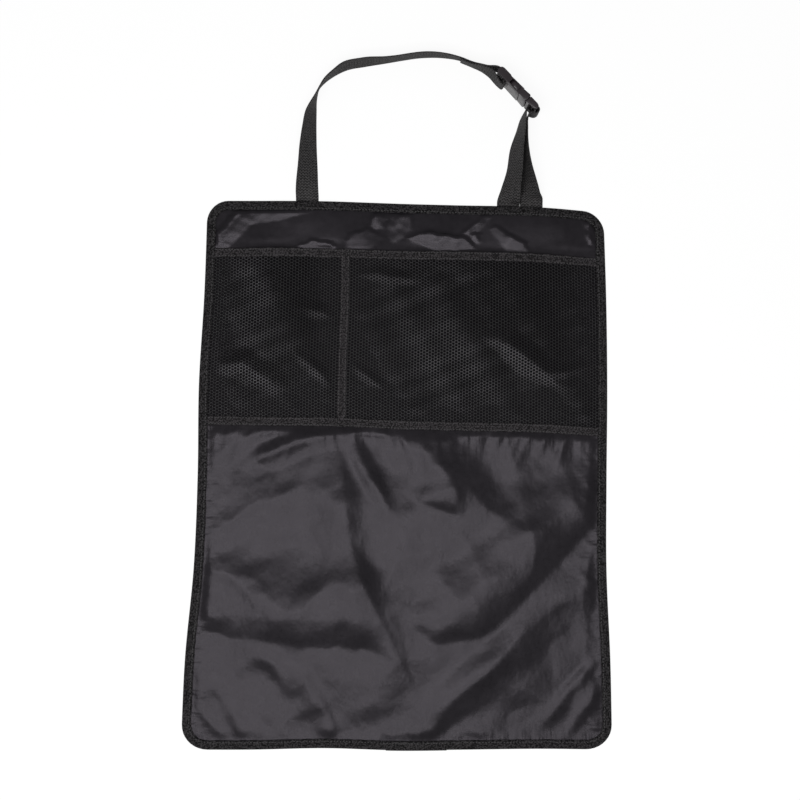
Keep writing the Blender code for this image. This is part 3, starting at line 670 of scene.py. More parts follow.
@dataclass(frozen=True)
class MatPlan:
    """The mat's own measure and the outline it takes as it lies."""

    top_width: float = 0.435
    bottom_width: float = 0.474
    height: float = 0.603
    top_shift: float = 0.010
    top_drop: float = 0.013
    top_radius: float = 0.024
    bottom_radius: float = 0.028
    top_bow: tuple[float, ...] = (0, 0.0020, 0.0033, 0.0030, 0.0033, 0.0035, 0)
    bottom_bow: tuple[float, ...] = (0, 0, -0.0016, 0.0007, 0, -0.0009, 0)
    left_bow: tuple[float, ...] = (0, 0.0003, -0.0044, -0.0038, -0.0003, -0.0014, 0)
    right_bow: tuple[float, ...] = (0, -0.0004, -0.0030, -0.0014, 0.0010, 0.0015, 0)
    loop_rise: float = 0.1583
    binding_width: float = 0.010
    binding_height: float = 0.0030
    edge_inset: float = 0.0015
    header_depth: float = 0.057
    pocket_depth: float = 0.187
    base_fall: float = 0.006
    divider_x: float = 0.159
    tape_width: float = 0.0095
    left_pocket_rise: float = 0.0075
    right_pocket_rise: float = 0.0085
    panel_z: float = 0.0011
    net_z: float = 0.00185
    strap_lift_height: float = 0.0017

    @property
    def width(self) -> float:
        """The mean width, which the mat's measure uses."""
        return (self.top_width + self.bottom_width) / 2

    @property
    def bottom_y(self) -> float:
        """Where the bottom edge lies."""
        return -(self.height + self.loop_rise) / 2

    @property
    def top_y(self) -> float:
        """Where the top edge's left end lies."""
        return self.bottom_y + self.height

    @property
    def hem_y(self) -> float:
        """The hem tape's middle line in the mat's measure."""
        return self.height - self.header_depth

    def bow(self, knots: tuple[float, ...], fraction: Points) -> Points:
        """A side's outward bow at fractions of its length."""
        shape = np.shape(fraction)
        place = np.ravel(fraction) * (len(knots) - 1)
        return smooth_curve(np.array(knots), np.arange(len(knots)), place).reshape(shape)

    def place(self, x: Points, y: Points, z: Points | float) -> Points:
        """Where places of the mat's measure lie in space.

        Args:
            x: Distance from the left edge.
            y: Distance from the bottom edge.
            z: Height over the surface that the mat lies on.

        Returns:
            One row of coordinates for each place.
        """
        x, y = np.asarray(x, float), np.asarray(y, float)
        u, v = x / self.width, y / self.height
        low = (u - 0.5) * self.bottom_width
        high = (u - 0.5) * self.top_width + self.top_shift
        sideways = u * self.bow(self.right_bow, v) - (1 - u) * self.bow(self.left_bow, v)
        upward = v * self.bow(self.top_bow, u) - (1 - v) * self.bow(self.bottom_bow, u)
        height = self.height - u * self.top_drop
        across = (1 - v) * low + v * high + sideways
        along = self.bottom_y + v * height + upward
        return np.stack([across, along, np.broadcast_to(z, x.shape)], axis=-1)

    def rounded(self, x: Points, y: Points, inset: float) -> tuple[Points, Points]:
        """Moves places of a rectangle, inset from the edge, into its rounded corners."""
        radius = np.where(y > self.height / 2, self.top_radius, self.bottom_radius) - inset
        right, upper = x > self.width / 2, y > self.height / 2
        middle_x = np.where(right, self.width - inset - radius, inset + radius)
        middle_y = np.where(upper, self.height - inset - radius, inset + radius)
        across = np.where(right, x - middle_x, middle_x - x)
        along = np.where(upper, y - middle_y, middle_y - y)
        corner = (across > 0) & (along > 0)
        length = np.hypot(across, along)
        shrink = np.where(corner, np.maximum(across, along) / np.where(corner, length, 1), 1)
        return (
            np.where(corner, middle_x + (x - middle_x) * shrink, x),
            np.where(corner, middle_y + (y - middle_y) * shrink, y),
        )

    def strap_lift(self, x: Points, y: Points) -> Points:
        """How far the mat is raised over the strap ends behind its top edge."""
        place = self.place(x, np.full(np.shape(x), self.height), 0.0)[..., 0] - self.top_shift
        across = np.zeros(np.shape(x))
        for middle, half in ((-0.108, 0.0125), (0.12575, 0.02525)):
            across = np.maximum(across, smoothstep(1 - (np.abs(place - middle) - half - 0.007) / 0.040))
        depth = self.height - y - 0.0143
        return self.strap_lift_height * across * smoothstep(1 - depth / 0.035)

    def pocket_base(self, x: Points) -> Points:
        """The base tape's middle line in the mat's measure."""
        return self.hem_y - self.pocket_depth - self.base_fall * (x / self.width - 0.5)

    def pocket_rise(self, x: Points, y: Points) -> Points:
        """How far the net stands off the panel."""
        left_step = (self.divider_x - self.edge_inset) / 8
        right_step = (self.width - self.edge_inset - self.divider_x) / 18
        left = (x - self.edge_inset - left_step) / (self.divider_x - 2 * left_step - self.edge_inset)
        right = (x - self.divider_x - right_step) / (
            self.width - self.edge_inset - self.divider_x - 2 * right_step
        )
        in_left = x < self.divider_x
        across = np.clip(np.where(in_left, left, right), 0, 1)
        rise = np.where(in_left, self.left_pocket_rise, self.right_pocket_rise)
        low = self.pocket_base(x) + 0.012
        return rise * np.sin(math.pi * across) ** 2 * smoothstep((y - low) / (self.hem_y - low) * 1.6)

    def net_height(self, x: Points, y: Points) -> Points:
        """Height of the net's middle surface."""
        return self.net_z + self.pocket_rise(x, y)

    def outline(self, step: float, arc_steps: int) -> tuple[Points, Points]:
        """Places once round the edge, clockwise seen from above, from the top left."""
        top, bottom = self.top_radius, self.bottom_radius
        w, h = self.width, self.height
        runs = [
            ((top, h), (w - top, h), (w - top, h - top), top, 90),
            ((w, h - top), (w, bottom), (w - bottom, bottom), bottom, 0),
            ((w - bottom, 0), (bottom, 0), (bottom, bottom), bottom, -90),
            ((0, bottom), (0, h - top), (top, h - top), top, 180),
        ]
        xs, ys = [], []
        for (x0, y0), (x1, y1), (cx, cy), radius, start in runs:
            share = np.linspace(0, 1, math.ceil(math.dist((x0, y0), (x1, y1)) / step) + 1)
            angles = np.radians(start - 90 * np.arange(1, arc_steps) / arc_steps)
            xs += [*(x0 + (x1 - x0) * share), *(cx + radius * np.cos(angles))]
            ys += [*(y0 + (y1 - y0) * share), *(cy + radius * np.sin(angles))]
        return np.array(xs), np.array(ys)


# Cloth


@dataclass
class PanelCloth:
    """The coated nylon panel, one sheet with every fold, gather and crease."""

    plan: MatPlan
    columns: int = 196
    row_counts: tuple[int, int, int] = (152, 22, 44)
    thickness: float = 0.0004
    lower_folds: tuple[Fold, ...] = (
        Fold(
            ((-216, -232, 24, 3.4), (-168, -232, 28, 4.2), (-109, -227, 40, 6.0), (-59, -230, 42, 6.2),
             (-27, -249, 24, 3.5), (-7, -274, 7, 0.6)), easy=75, sharp_foot=True,
        ),
        Fold(
            ((20, -315, 7, 0.6), (4, -287, 11, 1.6), (-15, -244, 16, 2.8), (-37, -196, 24, 4.2),
             (-52, -153, 26, 4.4), (-59, -89, 19, 2.8), (-61, -54, 9, 1.2)), easy=50,
        ),
        Fold(((-5, -120, 10, 0.8), (-27, -84, 18, 3.8), (-42, -57, 17, 3.6), (-51, -34, 9, 1.5)), easy=16),
        Fold(((69, -120, 9, 0.8), (65, -95, 15, 3.0), (48, -67, 20, 4.0), (21, -40, 13, 2.0)), easy=45),
        Fold(
            ((17, -95, 9, 0.4), (30, -101, 11, 2.2), (50, -106, 12, 2.6), (68, -115, 9, 1.0)),
            easy=26, sharp_foot=True,
        ),
        Fold(
            ((166, -140, 7, 0.4), (138, -139, 18, 1.4), (100, -117, 28, 3.0), (74, -87, 28, 3.6),
             (61, -54, 18, 2.2)),
            easy=42,
        ),
        Fold(
            ((16, -231, 11, 0.8), (47, -236, 29, 4.2), (84, -218, 42, 6.4), (133, -175, 34, 5.4),
             (175, -134, 30, 4.6), (215, -110, 20, 2.8)), easy=60, sharp_foot=True,
        ),
        Fold(
            ((31, -373, 11, 1.4), (63, -325, 24, 4.6), (106, -292, 33, 5.2), (138, -255, 35, 4.2),
             (181, -218, 31, 2.4), (222, -200, 20, 1.2)), easy=34,
        ),
        Fold(((163, -353, 9, 0.6), (191, -315, 10, 2.0), (224, -280, 9, 1.4)), easy=12),
        Fold(((186, -370, 8, 0.6), (204, -340, 9, 1.8), (227, -313, 8, 1.2)), easy=12),
        Fold(
            ((-162, -69, 9, 0.8), (-146, -58, 20, 4.0), (-119, -47, 20, 4.2), (-73, -32, 13, 2.2)), easy=16
        ),
        Fold(((-217, -178, 9, 1.0), (-177, -194, 10, 1.8), (-152, -222, 8, 0.5)), easy=26),
        Fold(((-210, -144, 9, 0.8), (-185, -131, 11, 1.6), (-155, -114, 9, 0.5)), easy=24),
        Fold(
            ((-65, -370, 9, 1.0), (-82, -332, 14, 2.6), (-103, -300, 14, 2.6), (-119, -287, 9, 0.8)),
            easy=34,
        ),
        Fold(((-163, -274, 9, 0.5), (-137, -287, 15, 2.0), (-119, -315, 11, 0.8)), easy=20),
        Fold(((-229, -320, 8, 1.0), (-208, -348, 9, 1.6), (-190, -373, 7, 0.8)), easy=12),
        Fold(((-203, -309, 7, 0.6), (-181, -340, 9, 1.4), (-166, -370, 7, 0.6)), easy=14),
    )
    facets: tuple[Facet, ...] = (
        Facet(((-199, 167), (-187, 169), (-160, 194), (-130, 224), (-168, 224), (-201, 186)), 0.19),
        Facet(
            ((-182, 186), (-152, 194), (-130, 200), (-100, 203), (-64, 209), (-70, 222), (-182, 220)), 0.15
        ),
        Facet(((-110, 172), (-84, 168), (-60, 166), (-72, 178), (-95, 181)), 0.24),
        Facet(((-33, 190), (-13, 191), (-7, 207), (-13, 213), (-26, 209)), 0.14),
        Facet(((-13, 190), (-5, 176), (0, 176), (19, 192), (18, 209), (-7, 211)), 0.14),
        Facet(((8, 182), (40, 168), (88, 169), (76, 184), (52, 188), (35, 191)), 0.21),
        Facet(((68, 183), (82, 181), (106, 205), (97, 210)), 0.17),
        Facet(((80, 178), (91, 175), (95, 187), (84, 188)), 0.22),
        Facet(((101, 192), (120, 168), (147, 165), (142, 176), (108, 196)), 0.13),
        Facet(((202, 205), (211, 174), (218, 174), (211, 206)), 0.38),
        Facet(((-58, 168), (-30, 167), (-13, 182), (-30, 194), (-53, 187)), 0.08),
    )

    def height(self, x: Points, y: Points) -> Points:
        """Height of the panel's middle surface."""
        plan = self.plan
        half = plan.tape_width / 2
        low, high = plan.pocket_base(x) - half, plan.hem_y + half
        edge = np.minimum.reduce([x, plan.width - x, y, plan.height - y]) - plan.binding_width
        below, above = low - y, y - high
        inside = smoothstep(edge / 0.012)
        lower = inside * smoothstep(below / 0.012)
        spot = plan.place(x, y, 0.0)
        z = plan.panel_z + plan.strap_lift(x, y)
        z = z + lower * sum(fold.rise(spot[..., 0], spot[..., 1]) for fold in self.lower_folds)
        z = z + lower * 0.0022 * np.sin(math.pi * x / plan.width) * np.sin(math.pi * np.clip(y / low, 0, 1))
        fan = x + below * 0.45 * np.sin(x / 0.045)
        reach = 0.012 + 0.012 * (1 + ripple(x, 0.085, 4.0)) / 2
        near = np.exp(-np.maximum(below, 0) / reach) * smoothstep(below / 0.005) * smoothstep(edge / 0.012)
        z = z + near * (0.0018 * (1 + ripple(fan, 0.0125, 1.3)) + 0.0010 * (1 + ripple(fan, 0.030, 5.0)))
        sides = np.exp(-np.maximum(edge, 0) / 0.013) * smoothstep(edge / 0.009)
        away = smoothstep(below / 0.006) + smoothstep(above / 0.006)
        gathered = 1 + 1.4 * ripple(x + y, 0.0155, 0.4)
        return z + away * sides * 0.0006 * gathered * smoothstep(below / 0.004)

    def build(self, finishes: Finishes) -> bpy.types.Object:
        """Args:
            finishes: The materials.

        Returns:
            The panel.
        """
        plan = self.plan
        inset = plan.edge_inset
        low, high = plan.hem_y - plan.pocket_depth - 0.004, plan.hem_y - 0.004
        end = plan.height - inset
        parts = zip((inset, low, high), (low, high, end), self.row_counts)
        spans = [np.linspace(a, b, n, endpoint=False) for a, b, n in parts]
        levels = np.concatenate(spans + [[end]])
        rows = len(levels)
        x, y = np.meshgrid(inset + np.linspace(0, 1, self.columns + 1) * (plan.width - 2 * inset), levels)
        x, y = x.ravel(), y.ravel()
        x, y = plan.rounded(x, y, inset)
        z = self.soften(self.height(x, y).reshape(rows, self.columns + 1)).ravel()
        spot = plan.place(x, y, 0.0)
        crumpled = np.maximum.reduce([facet.rise(spot[:, 0], spot[:, 1]) for facet in self.facets])
        rim = np.minimum.reduce([x, plan.width - x, plan.height - y]) - plan.binding_width
        z += crumpled * smoothstep((y - plan.hem_y - plan.tape_width / 2) / 0.004) * smoothstep(rim / 0.003)
        for index, (px, py) in enumerate(zip(x, y)):
            a, b = px * 0.87 + py * 0.5, py * 0.87 - px * 0.5
            swell = 0.0017 * noise.noise((a * 12, b * 19, 0.3))
            swell += 0.0008 * noise.noise((a * 30, b * 46, 2.3))
            crease = 0.0015 * (0.5 - 2 * abs(noise.noise((px * 14, py * 11, 7.1))))
            strength = 0.35 if py > plan.hem_y else 1.0
            z[index] += (swell + crease) * strength * float(self.loose(px, py))
        points = plan.place(x, y, np.maximum(z, 0.0007))
        number = np.arange(points.shape[0]).reshape(rows, self.columns + 1)
        around = (number[:-1, :-1], number[:-1, 1:], number[1:, 1:], number[1:, :-1])
        faces = [tuple(map(int, face)) for face in zip(*(part.ravel() for part in around))]
        panel = mesh_piece("panel_cloth", points, faces, np.stack([x, y], axis=1))
        self.mark_pulls_and_net_shade(panel, x, y)
        wall = panel.modifiers.new("cloth thickness", "SOLIDIFY")
        wall.thickness = self.thickness
        wall.offset = 0
        apply_modifiers(panel)
        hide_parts("main_panel")
        return dress(panel, finishes.nylon)

    def soften(self, z: Points) -> Points:
        """Rounds the folds' creases by about one cell of the grid."""
        for _ in range(2):
            z[:, 1:-1] = (z[:, :-2] + 2 * z[:, 1:-1] + z[:, 2:]) / 4
            z[1:-1] = (z[:-2] + 2 * z[1:-1] + z[2:]) / 4
        return z

    def loose(self, x: float, y: float) -> float:
        """1 where the cloth is free to ripple, 0 in the seams and under the net."""
        plan = self.plan
        edge = min(x, plan.width - x, y, plan.height - y) - plan.binding_width
        gap = max(plan.pocket_base(x) - y, y - plan.hem_y) - plan.tape_width
        return float(smoothstep(edge / 0.01) * smoothstep(gap / 0.008))

    def mark_pulls_and_net_shade(self, panel: bpy.types.Object, x: Points, y: Points) -> None:
        """Writes how strongly the seams gather the cloth at each point, and the painted shade that darkens
        the panel under the net.
        """
        plan = self.plan
        side = np.minimum(x, plan.width - x) - plan.binding_width
        below = plan.pocket_base(x) - plan.tape_width / 2 - y
        above = y - plan.hem_y - plan.tape_width / 2
        free = (below > -0.003) | (above > -0.003)
        # painted shade: 1 where the net covers the panel, drawn darker in place of the net's shadow
        net_shadow = smoothstep(-below / 0.002) * smoothstep(-above / 0.002)
        pulls = {
            "net_shade": net_shadow,
            "header": smoothstep(above / 0.002 + 1),
            "seam_pull": np.where(free, np.exp(-np.maximum(side, 0) / 0.011), 0)
            * np.where(above > 0, 0.4, 1),
            "tape_pull": np.where(below > -0.003, np.exp(-np.maximum(below, 0) / 0.018), 0)
            + 0.9 * np.exp(-np.maximum(y - plan.binding_width, 0) / 0.009),
        }
        for name, values in pulls.items():
            layer = panel.data.attributes.new(name, "FLOAT", "POINT")
            layer.data.foreach_set("value", values.astype(np.float32))


@dataclass
class NetCloth:
    """The knitted net of both pockets, with its openings."""

    plan: MatPlan
    column_pitch: float = 0.0032
    cell_height: float = 0.0034
    thread: float = 0.00088
    thickness: float = 0.0005
    folds: tuple[Fold, ...] = (
        Fold(((100, 70, 7, 0.5), (122, 64, 16, 3.2), (148, 46, 22, 4.2), (178, 20, 9, 0.8)), easy=20),
        Fold(((-192, 42, 11, 0.8), (-168, 43, 24, 3.0), (-136, 22, 13, 1.2)), easy=20),
        Fold(((-110, 54, 6, 0.4), (-90, 38, 10, 1.8), (-66, 15, 6, 0.5)), easy=11),
        Fold(((-112, 104, 7, 0.5), (-92, 103, 12, 1.9), (-68, 94, 7, 0.6)), easy=14),
        Fold(((-52, 44, 6, 0.4), (-32, 30, 10, 1.6), (-10, 12, 6, 0.4)), easy=10),
        Fold(((-50, 140, 7, 0.4), (-20, 143, 12, 1.8), (22, 134, 7, 0.5)), easy=12),
        Fold(((158, 32, 6, 0.4), (186, 34, 9, 1.6), (213, 41, 6, 0.4)), easy=10),
    )

    def height(self, x: Points, y: Points) -> Points:
        """Height of the net's middle surface."""
        plan = self.plan
        spot = plan.place(x, y, 0.0)
        edge = np.minimum.reduce([x, plan.width - x, np.abs(x - plan.divider_x) + 0.006]) - 0.013
        low, high = y - plan.pocket_base(x) - 0.006, plan.hem_y - 0.008 - y
        slack = smoothstep(low / 0.014) * smoothstep(high / 0.020) * smoothstep(edge / 0.014)
        waves = ripple(x * 0.8 + y * 0.5, 0.050, 2.2) + 0.6 * ripple(y - 0.4 * x, 0.034, 0.9)
        raised = sum(fold.rise(spot[..., 0], spot[..., 1]) for fold in self.folds) + 0.0006 * waves
        return np.maximum(plan.net_height(x, y) + slack * raised, plan.net_z)

    def build(self, finishes: Finishes) -> bpy.types.Object:
        """Args:
            finishes: The materials.

        Returns:
            The net.
        """
        plan = self.plan
        inset = plan.edge_inset + 0.001
        columns = int((plan.width - 2 * inset - self.column_pitch) / self.column_pitch)
        rows = int((plan.pocket_depth + plan.tape_width / 2) / self.cell_height)
        places: dict[tuple[int, int], int] = {}
        corners: list[tuple[float, float]] = []
        rings: list[list[int]] = []
        around = ((2, 0), (1, 1), (-1, 1), (-2, 0), (-1, -1), (1, -1))
        for column in range(columns):
            for row in range(rows):
                middle = (3 * column + 2, 2 * row + 1 + column % 2)
                ring = []
                for a, b in around:
                    key = (middle[0] + a, middle[1] + b)
                    if key not in places:
                        places[key] = len(corners)
                        corners.append((key[0] * self.column_pitch / 3, key[1] * self.cell_height / 2))
                    ring.append(places[key])
                rings.append(ring)
        outer = np.array(corners)
        ring_numbers = np.array(rings)
        centres = outer[ring_numbers].mean(axis=1)
        shrink = 1 - self.thread / self.cell_height
        inner = centres[:, None] + (outer[ring_numbers] - centres[:, None]) * shrink
        points = np.concatenate([outer, outer, inner.reshape(-1, 2)])
        count = len(outer)
        x = inset + points[:, 0] * (plan.width - 2 * inset) / outer[:, 0].max()
        base = plan.pocket_base(x) - plan.tape_width / 4
        top = plan.hem_y + plan.tape_width / 4
        y = base + points[:, 1] / outer[:, 1].max() * (top - base)
        z = self.height(x, y)
        z[:count] += self.thickness / 2
        z[count:2 * count] -= self.thickness / 2
        faces: list[tuple[int, ...]] = []
        used: dict[tuple[int, int], tuple[int, int]] = {}
        for index, ring in enumerate(rings):
            first = 2 * count + 6 * index
            for k in range(6):
                a, b = ring[k], ring[(k + 1) % 6]
                c, d = first + (k + 1) % 6, first + k
                faces.append((a, b, c, d))
                faces.append((b + count, a + count, d, c))
                if (b, a) in used:
                    del used[b, a]
                else:
                    used[a, b] = (a, b)
        faces += [(a + count, b + count, b, a) for a, b in used]
        net = mesh_piece("net_cloth", plan.place(x, y, z), faces)
        # painted highlight: how far each point of the net tilts toward the lamps, read from its height's
        # slope, brightens the threads' colour
        reach = 0.002
        lit = self.height(x, y + reach) - self.height(x, y - reach)
        lit = lit + 0.6 * (self.height(x + reach, y) - self.height(x - reach, y))
        layer = net.data.attributes.new("painted_highlight", "FLOAT", "POINT")
        layer.data.foreach_set("value", smoothstep(lit / (2 * reach) / 0.40 + 0.10).astype(np.float32))
        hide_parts("pocket_net")
        flat_size = (plan.width - 2 * inset, plan.pocket_depth + plan.tape_width / 2)
        knitted = flat_size[0] * flat_size[1] * (1 - shrink ** 2)
        return dress(net, finishes.net)


@dataclass
class FlatTape:
    """A flat woven tape along a line of the mat, puckered by its seam."""

    plan: MatPlan
    name: str
    node: str
    thickness: float = 0.0006
    step: float = 0.0025
    pucker: float = 0.00022
    pitch: float = 0.0062

    def rings(self, x: Points, y: Points, z: Points, across: tuple[float, float], seed: float) -> Points:
        """Cross-sections along a line of the mat's measure.

        Args:
            x: Places along the tape, from the left edge.
            y: Places along the tape, from the bottom edge.
            z: The tape's middle height at each place.
            across: The direction across the tape, to the right of its travel.
            seed: Changes the pucker.

        Returns:
            Stations, points round each and coordinates.
        """
        half, rim = self.plan.tape_width / 2, self.thickness / 2
        profile = [
            (half, -rim), (half, rim * 0.7), (half * 0.93, rim), (half * 0.45, rim), (0, rim * 0.8),
            (-half * 0.45, rim), (-half * 0.93, rim), (-half, rim * 0.7), (-half, -rim), (0, -rim),
        ]
        rings = []
        travelled = x + y
        for side, up in profile:
            wobble = 0.00025 * ripple(travelled, 0.031, seed + 3) * np.sign(side)
            sx, sy = x + across[0] * (side + wobble), y + across[1] * (side + wobble)
            lift = self.pucker * (0.4 + 0.6 * abs(side) / half)
            lift = lift * (ripple(travelled, self.pitch, seed) + 1) * (up > 0)
            rings.append(self.plan.place(sx, sy, z + up + lift))
        return np.stack(rings, axis=1)


@dataclass
class PocketTapes:
    """The hem along the pockets' mouths, the tape at their base and the divider."""

    plan: MatPlan
    end_gap: float = 0.0005
    layer_gap: float = 0.0003

    def build(self, finishes: Finishes, seams: SeamThread) -> None:
        """Makes the three tapes and their seams.

        Args:
            finishes: The materials.
            seams: Where the stitches are collected.
        """
        plan = self.plan
        start = plan.binding_width + self.end_gap
        x = spaced(start, plan.width - start, 0.0025)
        over_net = 0.00025 + self.layer_gap + 0.0003
        hem_y = np.full(x.shape, plan.hem_y)
        base_y = plan.pocket_base(x)
        for name, node, line, seed in (
            ("hem_tape", "pocket_hem_tape", hem_y, 0.7),
            ("base_tape", "pocket_base_tape", base_y, 1.9),
        ):
            tape = FlatTape(plan, name, node)
            z = plan.net_height(x, line) + over_net
            piece = loft(name, tape.rings(x, line, z, (0.0, -1.0), seed), closed=False)
            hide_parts(node)
            dress(piece, finishes.tape)
            for offset in (-0.0033, 0.0033):
                seams.run(plan.place(x, line + offset, z + 0.00065), 0.0034)
        self.build_divider(finishes, seams, over_net)

    def build_divider(self, finishes: Finishes, seams: SeamThread, over_net: float) -> None:
        """Makes the divider, which rides over both other tapes.

        Args:
            finishes: The materials.
            seams: Where the stitches are collected.
            over_net: The other tapes' height over the net.
        """
        plan = self.plan
        column = plan.divider_x
        base = float(plan.pocket_base(np.array([column]))[0])
        half = plan.tape_width / 2 + self.layer_gap
        low = plan.net_z + over_net + self.layer_gap
        high = low + 0.0006
        ramp = plan.tape_width
        y = spaced(base - half, plan.hem_y + half, 0.0025)
        lifted = np.maximum(
            smoothstep(1 - (y - base - half) / ramp), smoothstep(1 - (plan.hem_y - half - y) / ramp)
        )
        z = low + (high - low) * lifted
        x = np.full(y.shape, column)
        tape = FlatTape(plan, "divider", "divider_tape", pucker=0.00016)
        piece = loft("divider_tape_cloth", tape.rings(x, y, z, (1.0, 0.0), 2.6), closed=False)
        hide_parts("divider_tape")
        dress(piece, finishes.tape)
        for offset in (-0.0033, 0.0033):
            seams.run(plan.place(x + offset, y, z + 0.00055), 0.0034)


@dataclass
class EdgeBinding:
    """The tape folded round the edge, with its lapped end in the bottom edge."""

    plan: MatPlan
    step: float = 0.0035
    wall: float = 0.0006
    pucker: float = 0.00022

    def section(self, travelled: Points, width: Points, rise: float) -> list[tuple[Points, Points]]:
        """Inward distance and height of each point of the folded tape, at every station."""
        height, wall = self.plan.binding_height, self.wall
        soft = ripple(travelled, 0.0075, 0.2)
        plump = ripple(travelled, 0.045, 1.1)
        top = height + rise + self.pucker * (soft + 1) * 0.8
        crown = height + rise + 0.0002 * plump
        zero = np.zeros_like(travelled)
        outside = -rise + zero
        return [
            (width, zero),
            (zero + 0.0014, zero),
            (zero + 0.0004 + outside, zero + 0.0004),
            (outside, zero + 0.0012),
            (outside, zero + height - 0.0013),
            (zero + 0.0004 + outside, zero + height - 0.0004 + rise),
            (zero + 0.0015, crown),
            (width * 0.5, crown + 0.0001),
            (width * 0.80, (top + crown) / 2 - 0.0002),
            (width - 0.0006, top),
            (width, top - 0.0002),
            (width, top - wall),
            (width - 0.0010, top - wall - 0.0001 - (top - height) * 0.6),
            (zero + wall + 0.0002, zero + height - wall),
            (zero + wall, zero + height / 2),
            (zero + wall + 0.0002, zero + wall),
            (width, zero + wall),
        ]

    def rings(self, x: Points, y: Points, cyclic: bool, rise: float = 0.0) -> Points:
        """Cross-sections along the edge.

        Args:
            x: Places on the edge, from the left.
            y: Places on the edge, from the bottom.
            cyclic: Whether the edge is closed.
            rise: How much thicker this layer is than the first.

        Returns:
            Stations, points round each and coordinates.
        """
        plan = self.plan
        edge = plan.place(x, y, 0.0)
        if cyclic:
            forward = np.roll(edge, -1, axis=0) - np.roll(edge, 1, axis=0)
        else:
            forward = np.gradient(edge, axis=0)
        forward /= np.linalg.norm(forward, axis=1)[:, None]
        inward = np.stack([forward[:, 1], -forward[:, 0]], axis=1)
        travelled = np.concatenate([[0], np.cumsum(np.linalg.norm(np.diff(edge, axis=0), axis=1))])
        if cyclic:
            total = travelled[-1] + np.linalg.norm(edge[0] - edge[-1])
            travelled = travelled / total * round(total / 0.045) * 0.045
        width = plan.binding_width + 0.0003 * ripple(travelled, 0.019, 2.0) - (0.0004 if rise else 0)
        lift = plan.strap_lift(x, y)
        rings = []
        for inner, z in self.section(travelled, width, rise):
            ring = np.empty((len(x), 3))
            ring[:, 0] = edge[:, 0] + inward[:, 0] * inner
            ring[:, 1] = edge[:, 1] + inward[:, 1] * inner
            ring[:, 2] = z + lift
            rings.append(ring)
        return np.stack(rings, axis=1)

    def build(self, finishes: Finishes, seams: SeamThread) -> None:
        """Makes the binding, its lap and its seam.

        Args:
            finishes: The materials.
            seams: Where the stitches are collected.
        """
        plan = self.plan
        x, y = plan.outline(self.step, 9)
        rings = self.rings(x, y, cyclic=True)
        binding = loft("binding_cloth", rings[:, ::-1], closed=True)
        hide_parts("edge_binding")
        dress(binding, finishes.binding)
        seams.run(rings[:, 8] + np.array([0, 0, 0.00045]), 0.0034, cyclic=True)

        lap_x = spaced(0.280, 0.216, self.step)
        lap_rings = self.rings(lap_x, np.zeros_like(lap_x), cyclic=False, rise=0.0006)
        upper = lap_rings[:, 3:13].copy()
        upper[:, -2:, 2] = upper[:, -2:, 2] + 0.0002
        lap = loft("binding_lap", upper[:, ::-1], closed=False)
        dress(lap, finishes.binding)
        seams.run(lap_rings[:, 8] + np.array([0, 0, 0.00045]), 0.0030)


@dataclass
class SeamThread:
    """Collects every stitch of the seams into one piece."""

    name: str
    body: Body = Body.MAT
    thread: float = 0.00042
    points: list[Points] = field(default_factory=list)
    faces: list[tuple[int, ...]] = field(default_factory=list)
    count: int = 0

    def stitch_shape(self) -> tuple[Points, list[tuple[int, ...]]]:
        """One stitch of unit length along X, a low closed grain of thread."""
        rings = [(-0.5, 0.35), (-0.3, 0.95), (0.3, 0.95), (0.5, 0.35)]
        points = [
            (along, size * math.cos(math.radians(60 * k)), size * math.sin(math.radians(60 * k)))
            for along, size in rings
            for k in range(6)
        ]
        faces: list[tuple[int, ...]] = []
        for ring in range(3):
            for k in range(6):
                a, b = ring * 6 + k, ring * 6 + (k + 1) % 6
                faces.append((a, b, b + 6, a + 6))
        faces.append(tuple(range(5, -1, -1)))
        faces.append(tuple(range(18, 24)))
        return np.array(points), faces

    def run(self, line: Points, pitch: float, cyclic: bool = False, share: float = 0.62) -> None:
        """Sews along a line.

        Args:
            line: Points of the seam.
            pitch: The length from one stitch to the next.
            cyclic: Whether the line is closed.
            share: The part of the pitch that the thread shows.
        """
        if cyclic:
            line = np.concatenate([line, line[:1]])
        distance = np.concatenate([[0], np.cumsum(np.linalg.norm(np.diff(line, axis=0), axis=1))])
        number = max(1, round(distance[-1] / pitch))
        starts = (np.arange(number) + 0.5) * distance[-1] / number
        shape, faces = self.stitch_shape()
        reach = pitch * share / 2
        for middle in starts:
            a, b = (
                np.array([np.interp(middle + step, distance, line[:, axis]) for axis in range(3)])
                for step in (-reach, reach)
            )
            forward = b - a
            length = np.linalg.norm(forward)
            forward = forward / length
            side = np.cross((0, 0, 1), forward)
            side = side / np.linalg.norm(side)
            upward = np.cross(forward, side)
            grain = (
                (a + b) / 2
                + shape[:, :1] * length * forward
                + shape[:, 1:2] * self.thread * side
                + shape[:, 2:] * self.thread * 0.8 * upward
            )
            self.points.append(grain)
            self.faces += [tuple(index + self.count for index in face) for face in faces]
            self.count += len(grain)

    def build(self, finishes: Finishes) -> bpy.types.Object:
        """Makes one piece of all the stitches."""
        piece = mesh_piece(self.name, np.concatenate(self.points), self.faces)
        return dress(piece, finishes.thread, self.body)


# Headrest straps and buckle


